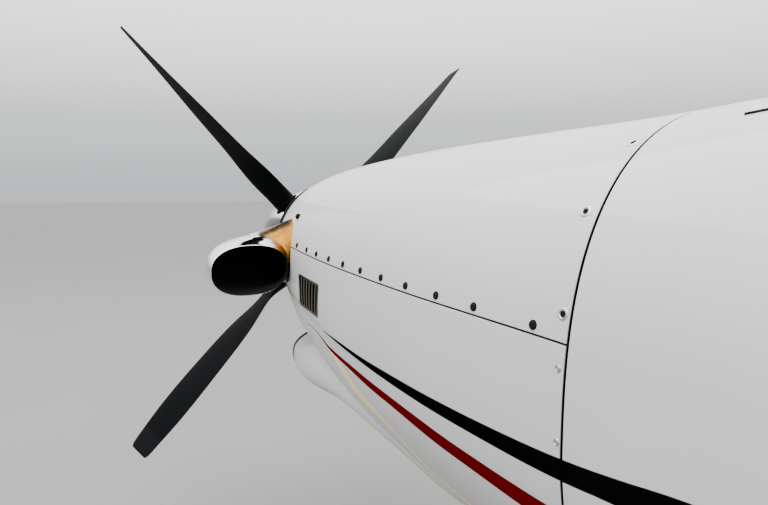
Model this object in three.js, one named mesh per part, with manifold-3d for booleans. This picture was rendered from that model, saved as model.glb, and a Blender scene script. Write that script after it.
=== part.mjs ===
// A single-engine turboprop aeroplane: low wing, pressurised cabin for six, tricycle gear, four-blade propeller.
// Millimetres. +X is the aeroplane's left side, +Y runs aft, +Z is up, and the ground is z = 0.
// Stations (st) are distances aft of the propeller plane; the whole group is shifted so that y = 0 is mid-length.
import * as THREE from "three";
import { mergeVertices } from "three/addons/utils/BufferGeometryUtils.js";
import Module from "manifold-3d";

const wasm = await Module();
wasm.setup();

// Driving dimensions
const SPAN = 13110;
const SPINNER_LENGTH = 430;
const SPINNER_RADIUS = 205;
const SPINNER_BACK = 90;
const TAIL_END = 8570;
const HUB_HEIGHT = 1310;
const PROPELLER_RADIUS = 1048;
const FIREWALL = 1720;
const AFT_BULKHEAD = 5600;
const TAIL_CONE_END = 8050;
const DIHEDRAL = Math.tan(THREE.MathUtils.degToRad(5));
const MAIN_GEAR_STATION = 3920;
const MAIN_WHEEL_X = 1875;
const NOSE_LEG_STATION = 1480;
const NOSE_WHEEL_TRAIL = 25;
const MAIN_TYRE_RADIUS = 222;
const NOSE_TYRE_RADIUS = 180;
const RING_POINTS = 24;
const TOUCH_GAP = 0.3;
const DOOR_GAP = 7;
const BIG = 20000;
const MID_LENGTH = (TAIL_END - SPINNER_LENGTH) / 2;

// Hull sections: station, half width, top, bottom, height of the widest point, and the powers of the
// superellipse above and below that point
const HULL = [
  [110, 228, 1520, 1075, 1300, 2.0, 2.0],
  [200, 268, 1548, 1020, 1290, 2.05, 2.1],
  [400, 335, 1584, 900, 1262, 2.15, 2.2],
  [800, 432, 1622, 792, 1205, 2.35, 2.25],
  [1250, 502, 1646, 700, 1160, 2.55, 2.12],
  [1720, 544, 1668, 645, 1130, 2.7, 2.15],
  [2250, 608, 1730, 600, 1150, 2.6, 2.45],
  [2650, 655, 1895, 590, 1190, 2.4, 2.4],
  [3050, 678, 2030, 585, 1240, 2.25, 2.25],
  [3500, 685, 2065, 585, 1270, 2.2, 2.2],
  [4600, 676, 2050, 620, 1290, 2.2, 2.2],
  [5600, 578, 1965, 770, 1330, 2.1, 2.1],
  [6600, 385, 1825, 990, 1400, 2.05, 2.05],
  [7500, 215, 1690, 1200, 1460, 2.0, 2.0],
  [8050, 105, 1600, 1330, 1480, 2.0, 2.0],
];

// Materials
const finish = (color, roughness, metalness, more = {}) =>
  new THREE.MeshStandardMaterial({ color, roughness, metalness, ...more });
const whitePaint = finish(0xeef0ee, 0.25, 0.0);
const bladePaint = finish(0x14171c, 0.45, 0.1);
const polishedMetal = finish(0xd8d8d6, 0.08, 1.0);
const hotSteel = finish(0xc08a3e, 0.25, 1.0);
const legPaint = finish(0xd6d8d8, 0.4, 0.1);
const tyreRubber = finish(0x1b1b1c, 0.85, 0.0);
const glassTint = finish(0x2a3238, 0.05, 0.0, { transparent: true, opacity: 0.35 });
const leatherTan = finish(0xb9a27e, 0.6, 0.0);
const cabinGrey = finish(0x3a3c3f, 0.8, 0.0);
const castMetal = finish(0x6d6f70, 0.6, 0.8);

const group = new THREE.Group();
const airframe = new THREE.Group();
airframe.position.y = -MID_LENGTH;
group.add(airframe);

// A closed three.js geometry as a solid that can be joined and cut
function solid(geometry) {
  const bare = geometry.index ? geometry.toNonIndexed() : geometry.clone();
  for (const name of Object.keys(bare.attributes)) {
    if (name !== "position") bare.deleteAttribute(name);
  }
  const merged = mergeVertices(bare, 1e-3);
  const index = merged.index.array;
  const kept = [];
  for (let i = 0; i < index.length; i += 3) {
    const [a, b, c] = [index[i], index[i + 1], index[i + 2]];
    if (a !== b && b !== c && a !== c) kept.push(a, b, c);
  }
  const made = new wasm.Manifold(
    new wasm.Mesh({
      numProp: 3,
      vertProperties: merged.attributes.position.array,
      triVerts: new Uint32Array(kept),
    }),
  );
  if (made.volume() < 0) throw new Error("a solid is inside out");
  return made;
}

function geometryOf(shape) {
  const { numProp, numVert, vertProperties, triVerts } = shape.getMesh();
  const position = new Float32Array(numVert * 3);
  for (let i = 0; i < numVert; i++) {
    position.set(vertProperties.subarray(i * numProp, i * numProp + 3), i * 3);
  }
  const geometry = new THREE.BufferGeometry();
  geometry.setAttribute("position", new THREE.BufferAttribute(position, 3));
  geometry.setIndex(new THREE.BufferAttribute(new Uint32Array(triVerts), 1));
  const flat = geometry.toNonIndexed();
  flat.computeVertexNormals();
  return flat;
}

// Adds a named piece; at is its position in the airframe group
function piece(name, shape, material, at = [0, 0, 0], parent = airframe) {
  const mesh = new THREE.Mesh(geometryOf(shape), material);
  mesh.name = name;
  mesh.position.set(...at);
  parent.add(mesh);
  return mesh;
}

const union = (...shapes) => shapes.reduce((a, b) => a.add(b));
const turned = (geometry, matrix) => solid(geometry.clone().applyMatrix4(matrix));

// The same shape on the other side of the aeroplane
function mirrored(shape) {
  const flat = geometryOf(shape);
  const position = flat.attributes.position.array;
  for (let i = 0; i < position.length; i += 9) {
    for (let k = 0; k < 9; k += 3) position[i + k] *= -1;
    for (let k = 0; k < 3; k++) {
      const held = position[i + 3 + k];
      position[i + 3 + k] = position[i + 6 + k];
      position[i + 6 + k] = held;
    }
  }
  return solid(flat);
}
const onSide = (side, shape) => (side > 0 ? shape : mirrored(shape));

function box(x0, x1, st0, st1, z0, z1) {
  const geometry = new THREE.BoxGeometry(x1 - x0, st1 - st0, z1 - z0);
  geometry.translate((x0 + x1) / 2, (st0 + st1) / 2, (z0 + z1) / 2);
  return solid(geometry);
}

// A round bar from point a to point b
function bar(a, b, radius, sides = 12, endRadius = radius) {
  const from = new THREE.Vector3(...a);
  const along = new THREE.Vector3(...b).sub(from);
  const geometry = new THREE.CylinderGeometry(endRadius, radius, along.length(), sides);
  const turn = new THREE.Quaternion().setFromUnitVectors(
    new THREE.Vector3(0, 1, 0),
    along.clone().normalize(),
  );
  geometry.applyQuaternion(turn);
  const middle = from.addScaledVector(along, 0.5);
  geometry.translate(middle.x, middle.y, middle.z);
  return solid(geometry);
}

// An outline of [station, height] points, rounded at its corners, extruded across the aeroplane from x0 to x1
function sidePrism(points, x0, x1, corner = 0) {
  const geometry = new THREE.ExtrudeGeometry(outline(points, corner), {
    depth: x1 - x0,
    bevelEnabled: false,
    curveSegments: 4,
  });
  const matrix = new THREE.Matrix4().makeBasis(
    new THREE.Vector3(0, 1, 0),
    new THREE.Vector3(0, 0, 1),
    new THREE.Vector3(1, 0, 0),
  );
  matrix.setPosition(x0, 0, 0);
  return turned(geometry, matrix);
}

// An outline of [x, station] points, extruded upwards from z0 to z1
function planPrism(points, z0, z1) {
  const geometry = new THREE.ExtrudeGeometry(outline(points, 0), {
    depth: z1 - z0,
    bevelEnabled: false,
  });
  return turned(geometry, new THREE.Matrix4().makeTranslation(0, 0, z0));
}

function outline(points, corner) {
  const shape = new THREE.Shape();
  const corners = points.map(([x, y]) => new THREE.Vector2(x, y));
  if (THREE.ShapeUtils.area(corners) < 0) corners.reverse();
  corners.forEach((here, i) => {
    const before = corners[(i + corners.length - 1) % corners.length];
    const after = corners[(i + 1) % corners.length];
    const start = before.clone().sub(here).setLength(corner).add(here);
    const end = after.clone().sub(here).setLength(corner).add(here);
    if (i === 0) shape.moveTo(start.x, start.y);
    else shape.lineTo(start.x, start.y);
    if (corner) shape.quadraticCurveTo(here.x, here.y, end.x, end.y);
  });
  shape.closePath();
  return shape;
}

// A closed skin over rings of equal length, with a fan over each end
function loft(rings) {
  const count = rings[0].length;
  const position = rings.flat(2);
  const index = [];
  for (let r = 0; r + 1 < rings.length; r++) {
    for (let i = 0; i < count; i++) {
      const a = r * count + i;
      const b = r * count + ((i + 1) % count);
      index.push(a, b, b + count, a, b + count, a + count);
    }
  }
  const ends = [rings[0], rings[rings.length - 1]];
  ends.forEach((ring, e) => {
    const centre = [0, 1, 2].map((k) => ring.reduce((sum, p) => sum + p[k], 0) / count);
    const middle = position.length / 3;
    position.push(...centre);
    const start = e ? (rings.length - 1) * count : 0;
    for (let i = 0; i < count; i++) {
      const a = start + i;
      const b = start + ((i + 1) % count);
      if (e) index.push(a, b, middle);
      else index.push(b, a, middle);
    }
  });
  const geometry = new THREE.BufferGeometry();
  geometry.setAttribute("position", new THREE.BufferAttribute(new Float32Array(position), 3));
  geometry.setIndex(index);
  try {
    return solid(geometry);
  } catch {
    for (let i = 0; i < index.length; i += 3) {
      [index[i + 1], index[i + 2]] = [index[i + 2], index[i + 1]];
    }
    geometry.setIndex(index);
    return solid(geometry);
  }
}

// A smooth curve through a table's column: cubic pieces whose slopes come from the neighbouring rows
function follow(table, column, at) {
  let i = 0;
  while (i < table.length - 2 && at > table[i + 1][0]) i++;
  const slope = (k) => {
    const a = table[Math.max(k - 1, 0)];
    const b = table[Math.min(k + 1, table.length - 1)];
    return (b[column] - a[column]) / (b[0] - a[0]);
  };
  const [x0, x1] = [table[i][0], table[i + 1][0]];
  const [y0, y1] = [table[i][column], table[i + 1][column]];
  const span = x1 - x0;
  const t = (at - x0) / span;
  const [t2, t3] = [t * t, t * t * t];
  return (
    y0 * (2 * t3 - 3 * t2 + 1) +
    slope(i) * span * (t3 - 2 * t2 + t) +
    y1 * (3 * t2 - 2 * t3) +
    slope(i + 1) * span * (t3 - t2)
  );
}

const signedPower = (value, power) => Math.sign(value) * Math.abs(value) ** power;

// One ring of the hull at a station, moved inwards by inset
function hullRing(st, inset) {
  const [halfWidth, top, bottom, waist, upper, lower] = [1, 2, 3, 4, 5, 6].map((c) => follow(HULL, c, st));
  return Array.from({ length: RING_POINTS }, (_, i) => {
    const angle = (2 * Math.PI * i) / RING_POINTS;
    const [c, s] = [Math.cos(angle), Math.sin(angle)];
    const power = s >= 0 ? upper : lower;
    const height = (s >= 0 ? top - waist : waist - bottom) - inset;
    return [
      (halfWidth - inset) * signedPower(c, 2 / power),
      st,
      waist + height * signedPower(s, 2 / power),
    ];
  });
}
const hull = (stations, inset = 0) => loft(stations.map((st) => hullRing(st, inset)));

// The station list of the table between two ends, with finer steps where asked
function stationsBetween(from, to, extra = []) {
  const inner = [...HULL.map((row) => row[0]), ...extra].filter((st) => st > from + 1 && st < to - 1);
  return [from, ...[...new Set(inner)].sort((a, b) => a - b), to];
}

// A frame whose u axis runs along a hinge line, v lies nearest the direction given and w completes it
function hingeFrame(a, b, towards = [0, 1, 0]) {
  const origin = new THREE.Vector3(...a);
  const u = new THREE.Vector3(...b).sub(origin);
  const length = u.length();
  u.normalize();
  const v = new THREE.Vector3(...towards);
  v.addScaledVector(u, -v.dot(u)).normalize();
  const w = new THREE.Vector3().crossVectors(u, v);
  const matrix = new THREE.Matrix4().makeBasis(u, v, w).setPosition(origin);
  return { length, matrix, at: (x, y = 0, z = 0) => new THREE.Vector3(x, y, z).applyMatrix4(matrix).toArray() };
}
function frameBox(frame, u0, u1, v0, v1, w0 = -900, w1 = 900) {
  const geometry = new THREE.BoxGeometry(u1 - u0, v1 - v0, w1 - w0);
  geometry.translate((u0 + u1) / 2, (v0 + v1) / 2, (w0 + w1) / 2);
  return turned(geometry, frame.matrix);
}

// Cowl: upper and lower halves, split along a line that falls gently aft
const COWL_FRONT = 110;
const COWL_WALL = 18;
const PARTING_AT_PROPELLER = 1332;
const PARTING_SLOPE = -0.0264;
const partingHeight = (st) => PARTING_AT_PROPELLER + PARTING_SLOPE * st;
const cowlStations = stationsBetween(COWL_FRONT, FIREWALL - TOUCH_GAP, [150, 300, 550, 1020, 1480]);
const cowlOuter = hull(cowlStations);
const cowlInner = hull([COWL_FRONT - 60, ...cowlStations, FIREWALL + 60], COWL_WALL);
const cowlShell = cowlOuter.subtract(cowlInner);

function partingHalf(sign) {
  const edge = (st) => [st, partingHeight(st) + (sign * TOUCH_GAP) / 2];
  const far = sign > 0 ? 3000 : 0;
  return sidePrism([edge(0), edge(2000), [2000, far], [0, far]], -900, 900);
}

// Exhaust stack: an oval duct that leaves the cowl and bends aft about its inner corner
const STACK_PIVOT = { x: 345, st: 440 };
const STACK_WALL = 4;
const STACK_INNER_RADIUS = 10;
const ENGINE_HALF = 185;
const STACK_NECK = STACK_PIVOT.x - ENGINE_HALF - TOUCH_GAP;
// Degrees turned, half length, half height, height of the middle, how far inboard of the pivot
const STACK_SECTIONS = [
  [0, 120, 114, 1298, STACK_NECK],
  [0, 124, 100, 1290, 30],
  [22, 127, 88, 1272, 0],
  [45, 129, 85, 1268, 0],
  [68, 130, 83, 1263, 0],
  [90, 130, 80, 1256, 0],
];
const STACK_POINTS = 16;
function stackRing([turn, length, height, z, inboard], grow, aft = 0) {
  const angle = THREE.MathUtils.degToRad(turn);
  const reach = STACK_INNER_RADIUS + length;
  return Array.from({ length: STACK_POINTS }, (_, i) => {
    const a = (2 * Math.PI * i) / STACK_POINTS;
    const out = reach + (length + grow) * signedPower(Math.cos(a), 0.85);
    return [
      STACK_PIVOT.x - inboard + out * Math.sin(angle),
      STACK_PIVOT.st - out * Math.cos(angle) + aft,
      z + (height + grow) * signedPower(Math.sin(a), 0.85),
    ];
  });
}
const stackSolid = (grow) => loft(STACK_SECTIONS.map((row) => stackRing(row, grow)));
function stack() {
  const bore = STACK_SECTIONS.slice(1).map((row) => stackRing(row, -STACK_WALL));
  const first = stackRing([0, 116, 110, 1298, STACK_NECK - 12], 0);
  const last = stackRing(STACK_SECTIONS.at(-1), -STACK_WALL, 30);
  return stackSolid(0).subtract(loft([first, ...bore, last]));
}

// Chin intake: a wide scoop under the cowl, open at its lip
// station, half width, top, bottom, roundness of the section
const SCOOP = [
  [262, 222, 1002, 840, 0.8],
  [300, 261, 1006, 806, 0.8],
  [420, 286, 1006, 793, 0.82],
  [650, 303, 982, 802, 0.88],
  [950, 325, 950, 762, 0.95],
  [1200, 320, 911, 703, 0.95],
  [1330, 296, 865, 704, 0.95],
];
const SCOOP_LIP = 26;
const SCOOP_MOUTH_DEPTH = 260;
function scoopRing([st, halfWidth, top, bottom, roundness], inset = 0) {
  const middle = (top + bottom) / 2;
  return Array.from({ length: 24 }, (_, i) => {
    const angle = (2 * Math.PI * i) / 24;
    return [
      (halfWidth - inset) * signedPower(Math.cos(angle), roundness),
      st,
      middle + ((top - bottom) / 2 - inset) * signedPower(Math.sin(angle), roundness),
    ];
  });
}
function intakeMouth() {
  const rows = [
    [SCOOP[0][0] - 40, ...SCOOP[0].slice(1)],
    SCOOP[1],
    [SCOOP[0][0] + SCOOP_MOUTH_DEPTH, SCOOP[1][1] - 20, SCOOP[1][2] - 10, SCOOP[1][3] + 12, SCOOP[1][4]],
  ];
  return loft(rows.map((row) => scoopRing(row, SCOOP_LIP)));
}
function chinIntake() {
  const keepOut = hull(stationsBetween(COWL_FRONT, FIREWALL, [150, 300, 550, 1020, 1480]), -TOUCH_GAP);
  return loft(SCOOP.map((row) => scoopRing(row))).subtract(intakeMouth()).subtract(keepOut);
}

// Louvre opening on each side of the lower cowl: station and height of its corners
const LOUVRE = [[560, 1250], [765, 1246], [750, 1150], [548, 1152]];
const LOUVRE_BARS = 6;
function louvreCut(side) {
  const opening = sidePrism(LOUVRE, 200, 600);
  const bars = Array.from({ length: LOUVRE_BARS }, (_, i) => {
    const st = LOUVRE[3][0] + ((i + 1) * (LOUVRE[1][0] - LOUVRE[3][0])) / (LOUVRE_BARS + 1);
    return box(150, 700, st - 5, st + 5, 1100, 1300);
  });
  return onSide(side, bars.reduce((left, one) => left.subtract(one), opening));
}

const NOSE_BAY_HALF = 105;
const noseBay = (from, to) => box(-NOSE_BAY_HALF, NOSE_BAY_HALF, from, to, 0, 800);

function cowls() {
  const stackHoles = union(...[1, -1].map((side) => onSide(side, stackSolid(9))));
  const louvres = union(louvreCut(1), louvreCut(-1));
  const upper = cowlShell.intersect(partingHalf(1)).subtract(stackHoles);
  const lower = cowlShell
    .intersect(partingHalf(-1))
    .subtract(stackHoles)
    .subtract(louvres)
    .subtract(intakeMouth())
    .subtract(noseBay(NOSE_LEG_STATION - 90, BIG));
  piece("cowl_upper", upper, whitePaint);
  piece("cowl_lower", lower, whitePaint);
  piece("chin_intake", chinIntake(), whitePaint);
  for (const [name, side] of [["left", 1], ["right", -1]]) {
    piece("exhaust_stack_" + name, onSide(side, stack()), hotSteel);
  }
}

// Engine: one plain block with its gearbox nose and shaft, carried on the firewall
function engine() {
  const block = box(-ENGINE_HALF, ENGINE_HALF, 420, FIREWALL - TOUCH_GAP, HUB_HEIGHT - 220, HUB_HEIGHT + 200);
  const exhaustCase = box(-ENGINE_HALF, ENGINE_HALF, 200, 425, HUB_HEIGHT - 100, HUB_HEIGHT + 75);
  const gearbox = bar([0, 130, HUB_HEIGHT], [0, 430, HUB_HEIGHT], 130, 20);
  const shaft = bar([0, SPINNER_BACK, HUB_HEIGHT], [0, 140, HUB_HEIGHT], 60, 20);
  piece("engine_block", union(block, exhaustCase, gearbox, shaft), castMetal);
}

// Cabin hull: hollow from firewall to aft bulkhead, with its windows, doors and nose gear bay cut
const CABIN_WALL = 45;
const CUT_TURN_HEIGHT = 1500;
const GLASS_IN = 3;
const GLASS_WALL = 14;
const WINDSHIELD = [[2235, 1722], [2420, 1700], [2690, 1668], [2925, 1985], [3030, 2060], [2600, 2060]];
const WINDSHIELD_POST = 28;
const PILOT_WINDOW = [[2770, 1670], [3240, 1670], [3225, 1935], [3010, 1945]];
const windowOutline = (st, z = 1655, halfLength = 195, halfHeight = 160) => [
  [st - halfLength, z - halfHeight],
  [st + halfLength, z - halfHeight],
  [st + halfLength, z + halfHeight],
  [st - halfLength, z + halfHeight],
];
const CABIN_WINDOWS = {
  left: [3700, 4350],
  right: [3700, 4350, 5000],
};
const WINDOW_CORNER = 70;
const DOOR = { front: 4720, back: 5340, sill: 870, split: 1400, top: 1905 };
const doorMiddle = (DOOR.front + DOOR.back) / 2;
const BAGGAGE_DOOR = { front: 1905, back: 2200, sill: 1215, top: 1560 };
const rectangle = (front, back, low, high) => [[front, low], [back, low], [back, high], [front, high]];

const cabinStations = stationsBetween(FIREWALL, AFT_BULKHEAD, [1980, 2450, 2850, 3270, 4050, 5100]);
const cabinSkin = (inset) => hull(cabinStations, inset);
const grown = (points, by) => {
  const centre = points.reduce(([a, b], [x, y]) => [a + x / points.length, b + y / points.length], [0, 0]);
  return points.map(([x, y]) => {
    const d = Math.hypot(x - centre[0], y - centre[1]);
    const scale = 1 + (by * 1.3) / d;
    return [centre[0] + (x - centre[0]) * scale, centre[1] + (y - centre[1]) * scale];
  });
};

// Half width of the hull at a station and height
function skinX(st, z) {
  const [halfWidth, top, bottom, waist, upper, lower] = [1, 2, 3, 4, 5, 6].map((c) => follow(HULL, c, st));
  const power = z > waist ? upper : lower;
  const share = Math.abs(z - waist) / (z > waist ? top - waist : waist - bottom);
  return halfWidth * (1 - share ** power) ** (1 / power);
}

// Hangs a door on the left side by two hinges that lie along the outer skin, just beyond its edge
const HINGE_OFFSET = 10;
const HINGE_PROUD = 8;
const KNUCKLE = { radius: 7, length: 40, clear: 3, root: 18 };
function hangDoor(shell, door, { front, back, edge, up }, shares = [0.15, 0.78]) {
  const z = edge + up * HINGE_OFFSET;
  const frame = hingeFrame(
    [skinX(front, z) + HINGE_PROUD, front, z],
    [skinX(back, z) + HINGE_PROUD, back, z],
    [-1, 0, 0],
  );
  const { radius, length, clear, root } = KNUCKLE;
  const span = (from, to) => (up > 0 ? [from, to] : [-to, -from]);
  for (const share of shares) {
    const u = share * frame.length;
    const seat = u + length + TOUCH_GAP;
    const notch = union(
      bar(frame.at(u - clear), frame.at(seat), radius + clear),
      frameBox(frame, u - clear, seat, -radius, root + clear, ...span(-HINGE_OFFSET, clear)),
    );
    const doorTab = frameBox(frame, u, u + length, -radius + 1, root, ...span(-HINGE_OFFSET - 8, 0));
    const shellTab = frameBox(frame, seat, u + 2 * length, 0, root, ...span(-3, radius));
    door = union(door, bar(frame.at(u), frame.at(u + length), radius), doorTab);
    shell = union(shell.subtract(notch), bar(frame.at(seat), frame.at(u + 2 * length), radius), shellTab);
  }
  return [shell, door];
}

// Every pane: name, side (+1 left), outline, where it starts and ends across the aeroplane, corner radius
function panes() {
  const list = [];
  for (const [name, side] of [["left", 1], ["right", -1]]) {
    list.push(["windshield_" + name, side, WINDSHIELD, WINDSHIELD_POST, 900, 25]);
    list.push(["pilot_window_" + name, side, PILOT_WINDOW, 300, 900, 55]);
    CABIN_WINDOWS[name].forEach((st, i) => {
      list.push([`cabin_window_${name}_${i + 1}`, side, windowOutline(st), 300, 900, WINDOW_CORNER]);
    });
  }
  list.push(["door_window", 1, windowOutline(doorMiddle, 1655, 175, 150), 300, 900, WINDOW_CORNER]);
  return list;
}

// Turns a cut so that its end faces stand square to the hull's side, where the hull narrows in plan
function acrossSkin(shape, st, degrees) {
  const x = skinX(st, CUT_TURN_HEIGHT);
  const matrix = new THREE.Matrix4()
    .makeTranslation(x, st, 0)
    .multiply(new THREE.Matrix4().makeRotationZ(THREE.MathUtils.degToRad(degrees)))
    .multiply(new THREE.Matrix4().makeTranslation(-x, -st, 0));
  return turned(geometryOf(shape), matrix);
}

function cabin() {
  const outer = cabinSkin(0);
  const innerStations = [FIREWALL + CABIN_WALL, ...cabinStations.slice(1, -1), AFT_BULKHEAD - CABIN_WALL];
  const inner = hull(innerStations, CABIN_WALL);
  const wall = outer.subtract(inner);
  const glassLayer = cabinSkin(GLASS_IN).subtract(cabinSkin(GLASS_IN + GLASS_WALL));
  let shell = wall;
  const doorCut = (gap, low, high) =>
    acrossSkin(sidePrism(rectangle(DOOR.front - gap, DOOR.back + gap, low, high), 150, 900, 60 + gap), doorMiddle, 10);
  const opening = doorCut(DOOR_GAP, DOOR.sill - DOOR_GAP, DOOR.top + DOOR_GAP);
  shell = shell.subtract(opening);
  const doorBody = wall.intersect(doorCut(0, DOOR.sill, DOOR.top));
  const split = box(0, 900, DOOR.front - 50, DOOR.back + 50, DOOR.split - DOOR_GAP / 2, DOOR.split + DOOR_GAP / 2);
  const aboveSplit = box(0, 900, 4000, 6000, DOOR.split, 2500);
  let upperDoor = doorBody.subtract(split).intersect(aboveSplit);
  let lowerDoor = doorBody.subtract(split).subtract(aboveSplit);
  for (const [name, side, points, x0, x1, corner] of panes()) {
    const hole = onSide(side, sidePrism(grown(points, TOUCH_GAP), x0 - TOUCH_GAP, x1, corner));
    const pane = glassLayer.intersect(onSide(side, sidePrism(points, x0, x1, corner)));
    if (name === "door_window") upperDoor = upperDoor.subtract(hole);
    else shell = shell.subtract(hole);
    piece(name, pane, glassTint);
  }
  const { front, back, sill, top } = BAGGAGE_DOOR;
  const hatch = (gap) =>
    acrossSkin(sidePrism(rectangle(front - gap, back + gap, sill - gap, top + gap), 200, 900, 40 + gap), front, -10);
  shell = shell.subtract(mirrored(hatch(DOOR_GAP))).subtract(noseBay(FIREWALL - 100, 2190));
  [shell, upperDoor] = hangDoor(shell, upperDoor, { ...DOOR, edge: DOOR.top, up: 1 });
  [shell, lowerDoor] = hangDoor(shell, lowerDoor, { ...DOOR, edge: DOOR.sill, up: -1 });
  const rightSide = [mirrored(shell), mirrored(wall.intersect(mirrored(hatch(0))))];
  const hung = hangDoor(...rightSide, { ...BAGGAGE_DOOR, edge: top, up: 1 }, [0.14, 0.58]);
  shell = mirrored(hung[0]);
  const baggageDoor = mirrored(hung[1]);
  piece("cabin_shell", shell, whitePaint);
  piece("door_upper", upperDoor, whitePaint);
  piece("door_lower", lowerDoor, whitePaint);
  piece("baggage_door", baggageDoor, whitePaint);
}

// Tail cone
const TAIL_WALL = 14;
const ELEVATOR_HINGE = { st: 8010, z: 1475, nose: 22 };
const tailStations = stationsBetween(AFT_BULKHEAD + TOUCH_GAP, TAIL_CONE_END, [6100, 7050, 7800]);

// Aerofoil outline: the four-digit thickness form, with a camber share of the chord
function aerofoil(chord, thickness, camber = 0.015, points = 9) {
  const halfThickness = (x) =>
    5 * thickness * (0.2969 * Math.sqrt(x) - 0.126 * x - 0.3516 * x ** 2 + 0.2843 * x ** 3 - 0.1036 * x ** 4);
  const spacing = Array.from({ length: points + 1 }, (_, i) => (1 - Math.cos((Math.PI * i) / points)) / 2);
  const rise = (x) => 4 * camber * x * (1 - x);
  const upper = spacing.map((x) => [x * chord, (rise(x) + halfThickness(x)) * chord]);
  const lower = spacing.slice(1).map((x) => [x * chord, (rise(x) - halfThickness(x)) * chord]);
  return [...upper, ...lower.reverse()];
}

// Wing: x, leading edge station, trailing edge station, thickness share
const WING = [
  [330, 2755, 4660, 0.15],
  [1150, 2905, 4600, 0.15],
  [1750, 3060, 4552, 0.145],
  [6380, 3300, 4200, 0.12],
  [6500, 3345, 4180, 0.1],
  [SPAN / 2, 3450, 4140, 0.06],
];
const WING_ROOT_HEIGHT = 740;
const wingHeight = (x) => WING_ROOT_HEIGHT + (x - 600) * DIHEDRAL;
function wingRing([x, lead, trail, thickness]) {
  return aerofoil(trail - lead, thickness).map(([along, up]) => [x, lead + along, wingHeight(x) + up]);
}

// Cuts a control surface out of a fixed surface: a round nose about the hinge line and a stub pin at each end,
// or at the outer end only where the bay runs on inwards to openTo
const SURFACE_END_GAP = 8;
const SURFACE_NOSE_GAP = 6;
const SURFACE_PIN = 7;
function hingedSurface(whole, a, b, nose, noseEnd = nose, openTo = null) {
  const frame = hingeFrame(a, b);
  const { length, at } = frame;
  const bay = frameBox(frame, openTo ?? -SURFACE_END_GAP, length + SURFACE_END_GAP, -(nose + SURFACE_NOSE_GAP), 3000);
  const body = whole.intersect(frameBox(frame, 0, length, 0, 3000));
  const round = bar(at(0), at(length), nose, 16, noseEnd);
  const stubs = [bar(at(length + TOUCH_GAP), at(length + SURFACE_END_GAP + 25), SURFACE_PIN)];
  if (openTo === null) stubs.push(bar(at(-SURFACE_END_GAP - 25), at(-TOUCH_GAP), SURFACE_PIN));
  return { fixed: union(whole.subtract(bay), ...stubs), moving: union(body, round) };
}

// Flap: hinged below the wing on two brackets, so that it runs aft as it drops
const FLAP = { inner: 760, outer: 3480, chordShare: 0.72, drop: 75, brackets: [850, 2150, 3330] };
const FLAP_GAP = 6;
const AILERON = { inner: 3545, outer: 6230, chordShare: 0.76 };
const straightAt = (x, column) => {
  const i = WING.findIndex((row) => row[0] > x);
  const [a, b] = [WING[i - 1], WING[i]];
  return a[column] + ((b[column] - a[column]) * (x - a[0])) / (b[0] - a[0]);
};
const chordPoint = (x, share) => straightAt(x, 1) + share * (straightAt(x, 2) - straightAt(x, 1));
function wingSurfaceHeights(x, share) {
  const chord = straightAt(x, 2) - straightAt(x, 1);
  const thick = straightAt(x, 3);
  const half =
    5 * thick * (0.2969 * Math.sqrt(share) - 0.126 * share - 0.3516 * share ** 2 + 0.2843 * share ** 3 - 0.1036 * share ** 4);
  const middle = wingHeight(x) + 4 * 0.015 * share * (1 - share) * chord;
  return { low: middle - half * chord, high: middle + half * chord, middle };
}

const flapLine = (x) => {
  const { low } = wingSurfaceHeights(x, FLAP.chordShare);
  return [x, chordPoint(x, FLAP.chordShare), low - FLAP.drop + 25];
};
const flapHinge = [flapLine(FLAP.inner), flapLine(FLAP.outer)];
const aileronLine = (x) => [x, chordPoint(x, AILERON.chordShare), wingSurfaceHeights(x, AILERON.chordShare).middle];
const aileronHinge = [aileronLine(AILERON.inner), aileronLine(AILERON.outer)];

// A flat plate in the plane across a hinge line: points are [aft, up] from the hinge, u0 to u1 along it
function hingePlate(frame, points, u0, u1) {
  const geometry = new THREE.ExtrudeGeometry(outline(points, 0), { depth: u1 - u0, bevelEnabled: false });
  const across = new THREE.Matrix4().makeBasis(
    new THREE.Vector3(0, 1, 0),
    new THREE.Vector3(0, 0, 1),
    new THREE.Vector3(1, 0, 0),
  );
  across.setPosition(u0, 0, 0);
  geometry.applyMatrix4(across);
  return turned(geometry, frame.matrix);
}

// Main gear bay in each wing: the wheel's round well and the leg's slot
const LEG_X = MAIN_WHEEL_X - 130;
const LEG_PIVOT_Z = 812;
const WHEEL_WELL = { x: 1200, radius: 250, roof: 905 };
const LEG_SLOT = { inner: 1300, outer: LEG_X + 62, half: 72, roof: 868 };
function gearBay() {
  const well = bar([WHEEL_WELL.x, MAIN_GEAR_STATION, 400], [WHEEL_WELL.x, MAIN_GEAR_STATION, WHEEL_WELL.roof - 20], WHEEL_WELL.radius, 28);
  const { inner, outer, half, roof } = LEG_SLOT;
  return union(well, box(inner, outer, MAIN_GEAR_STATION - half, MAIN_GEAR_STATION + half, 400, roof));
}

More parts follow.
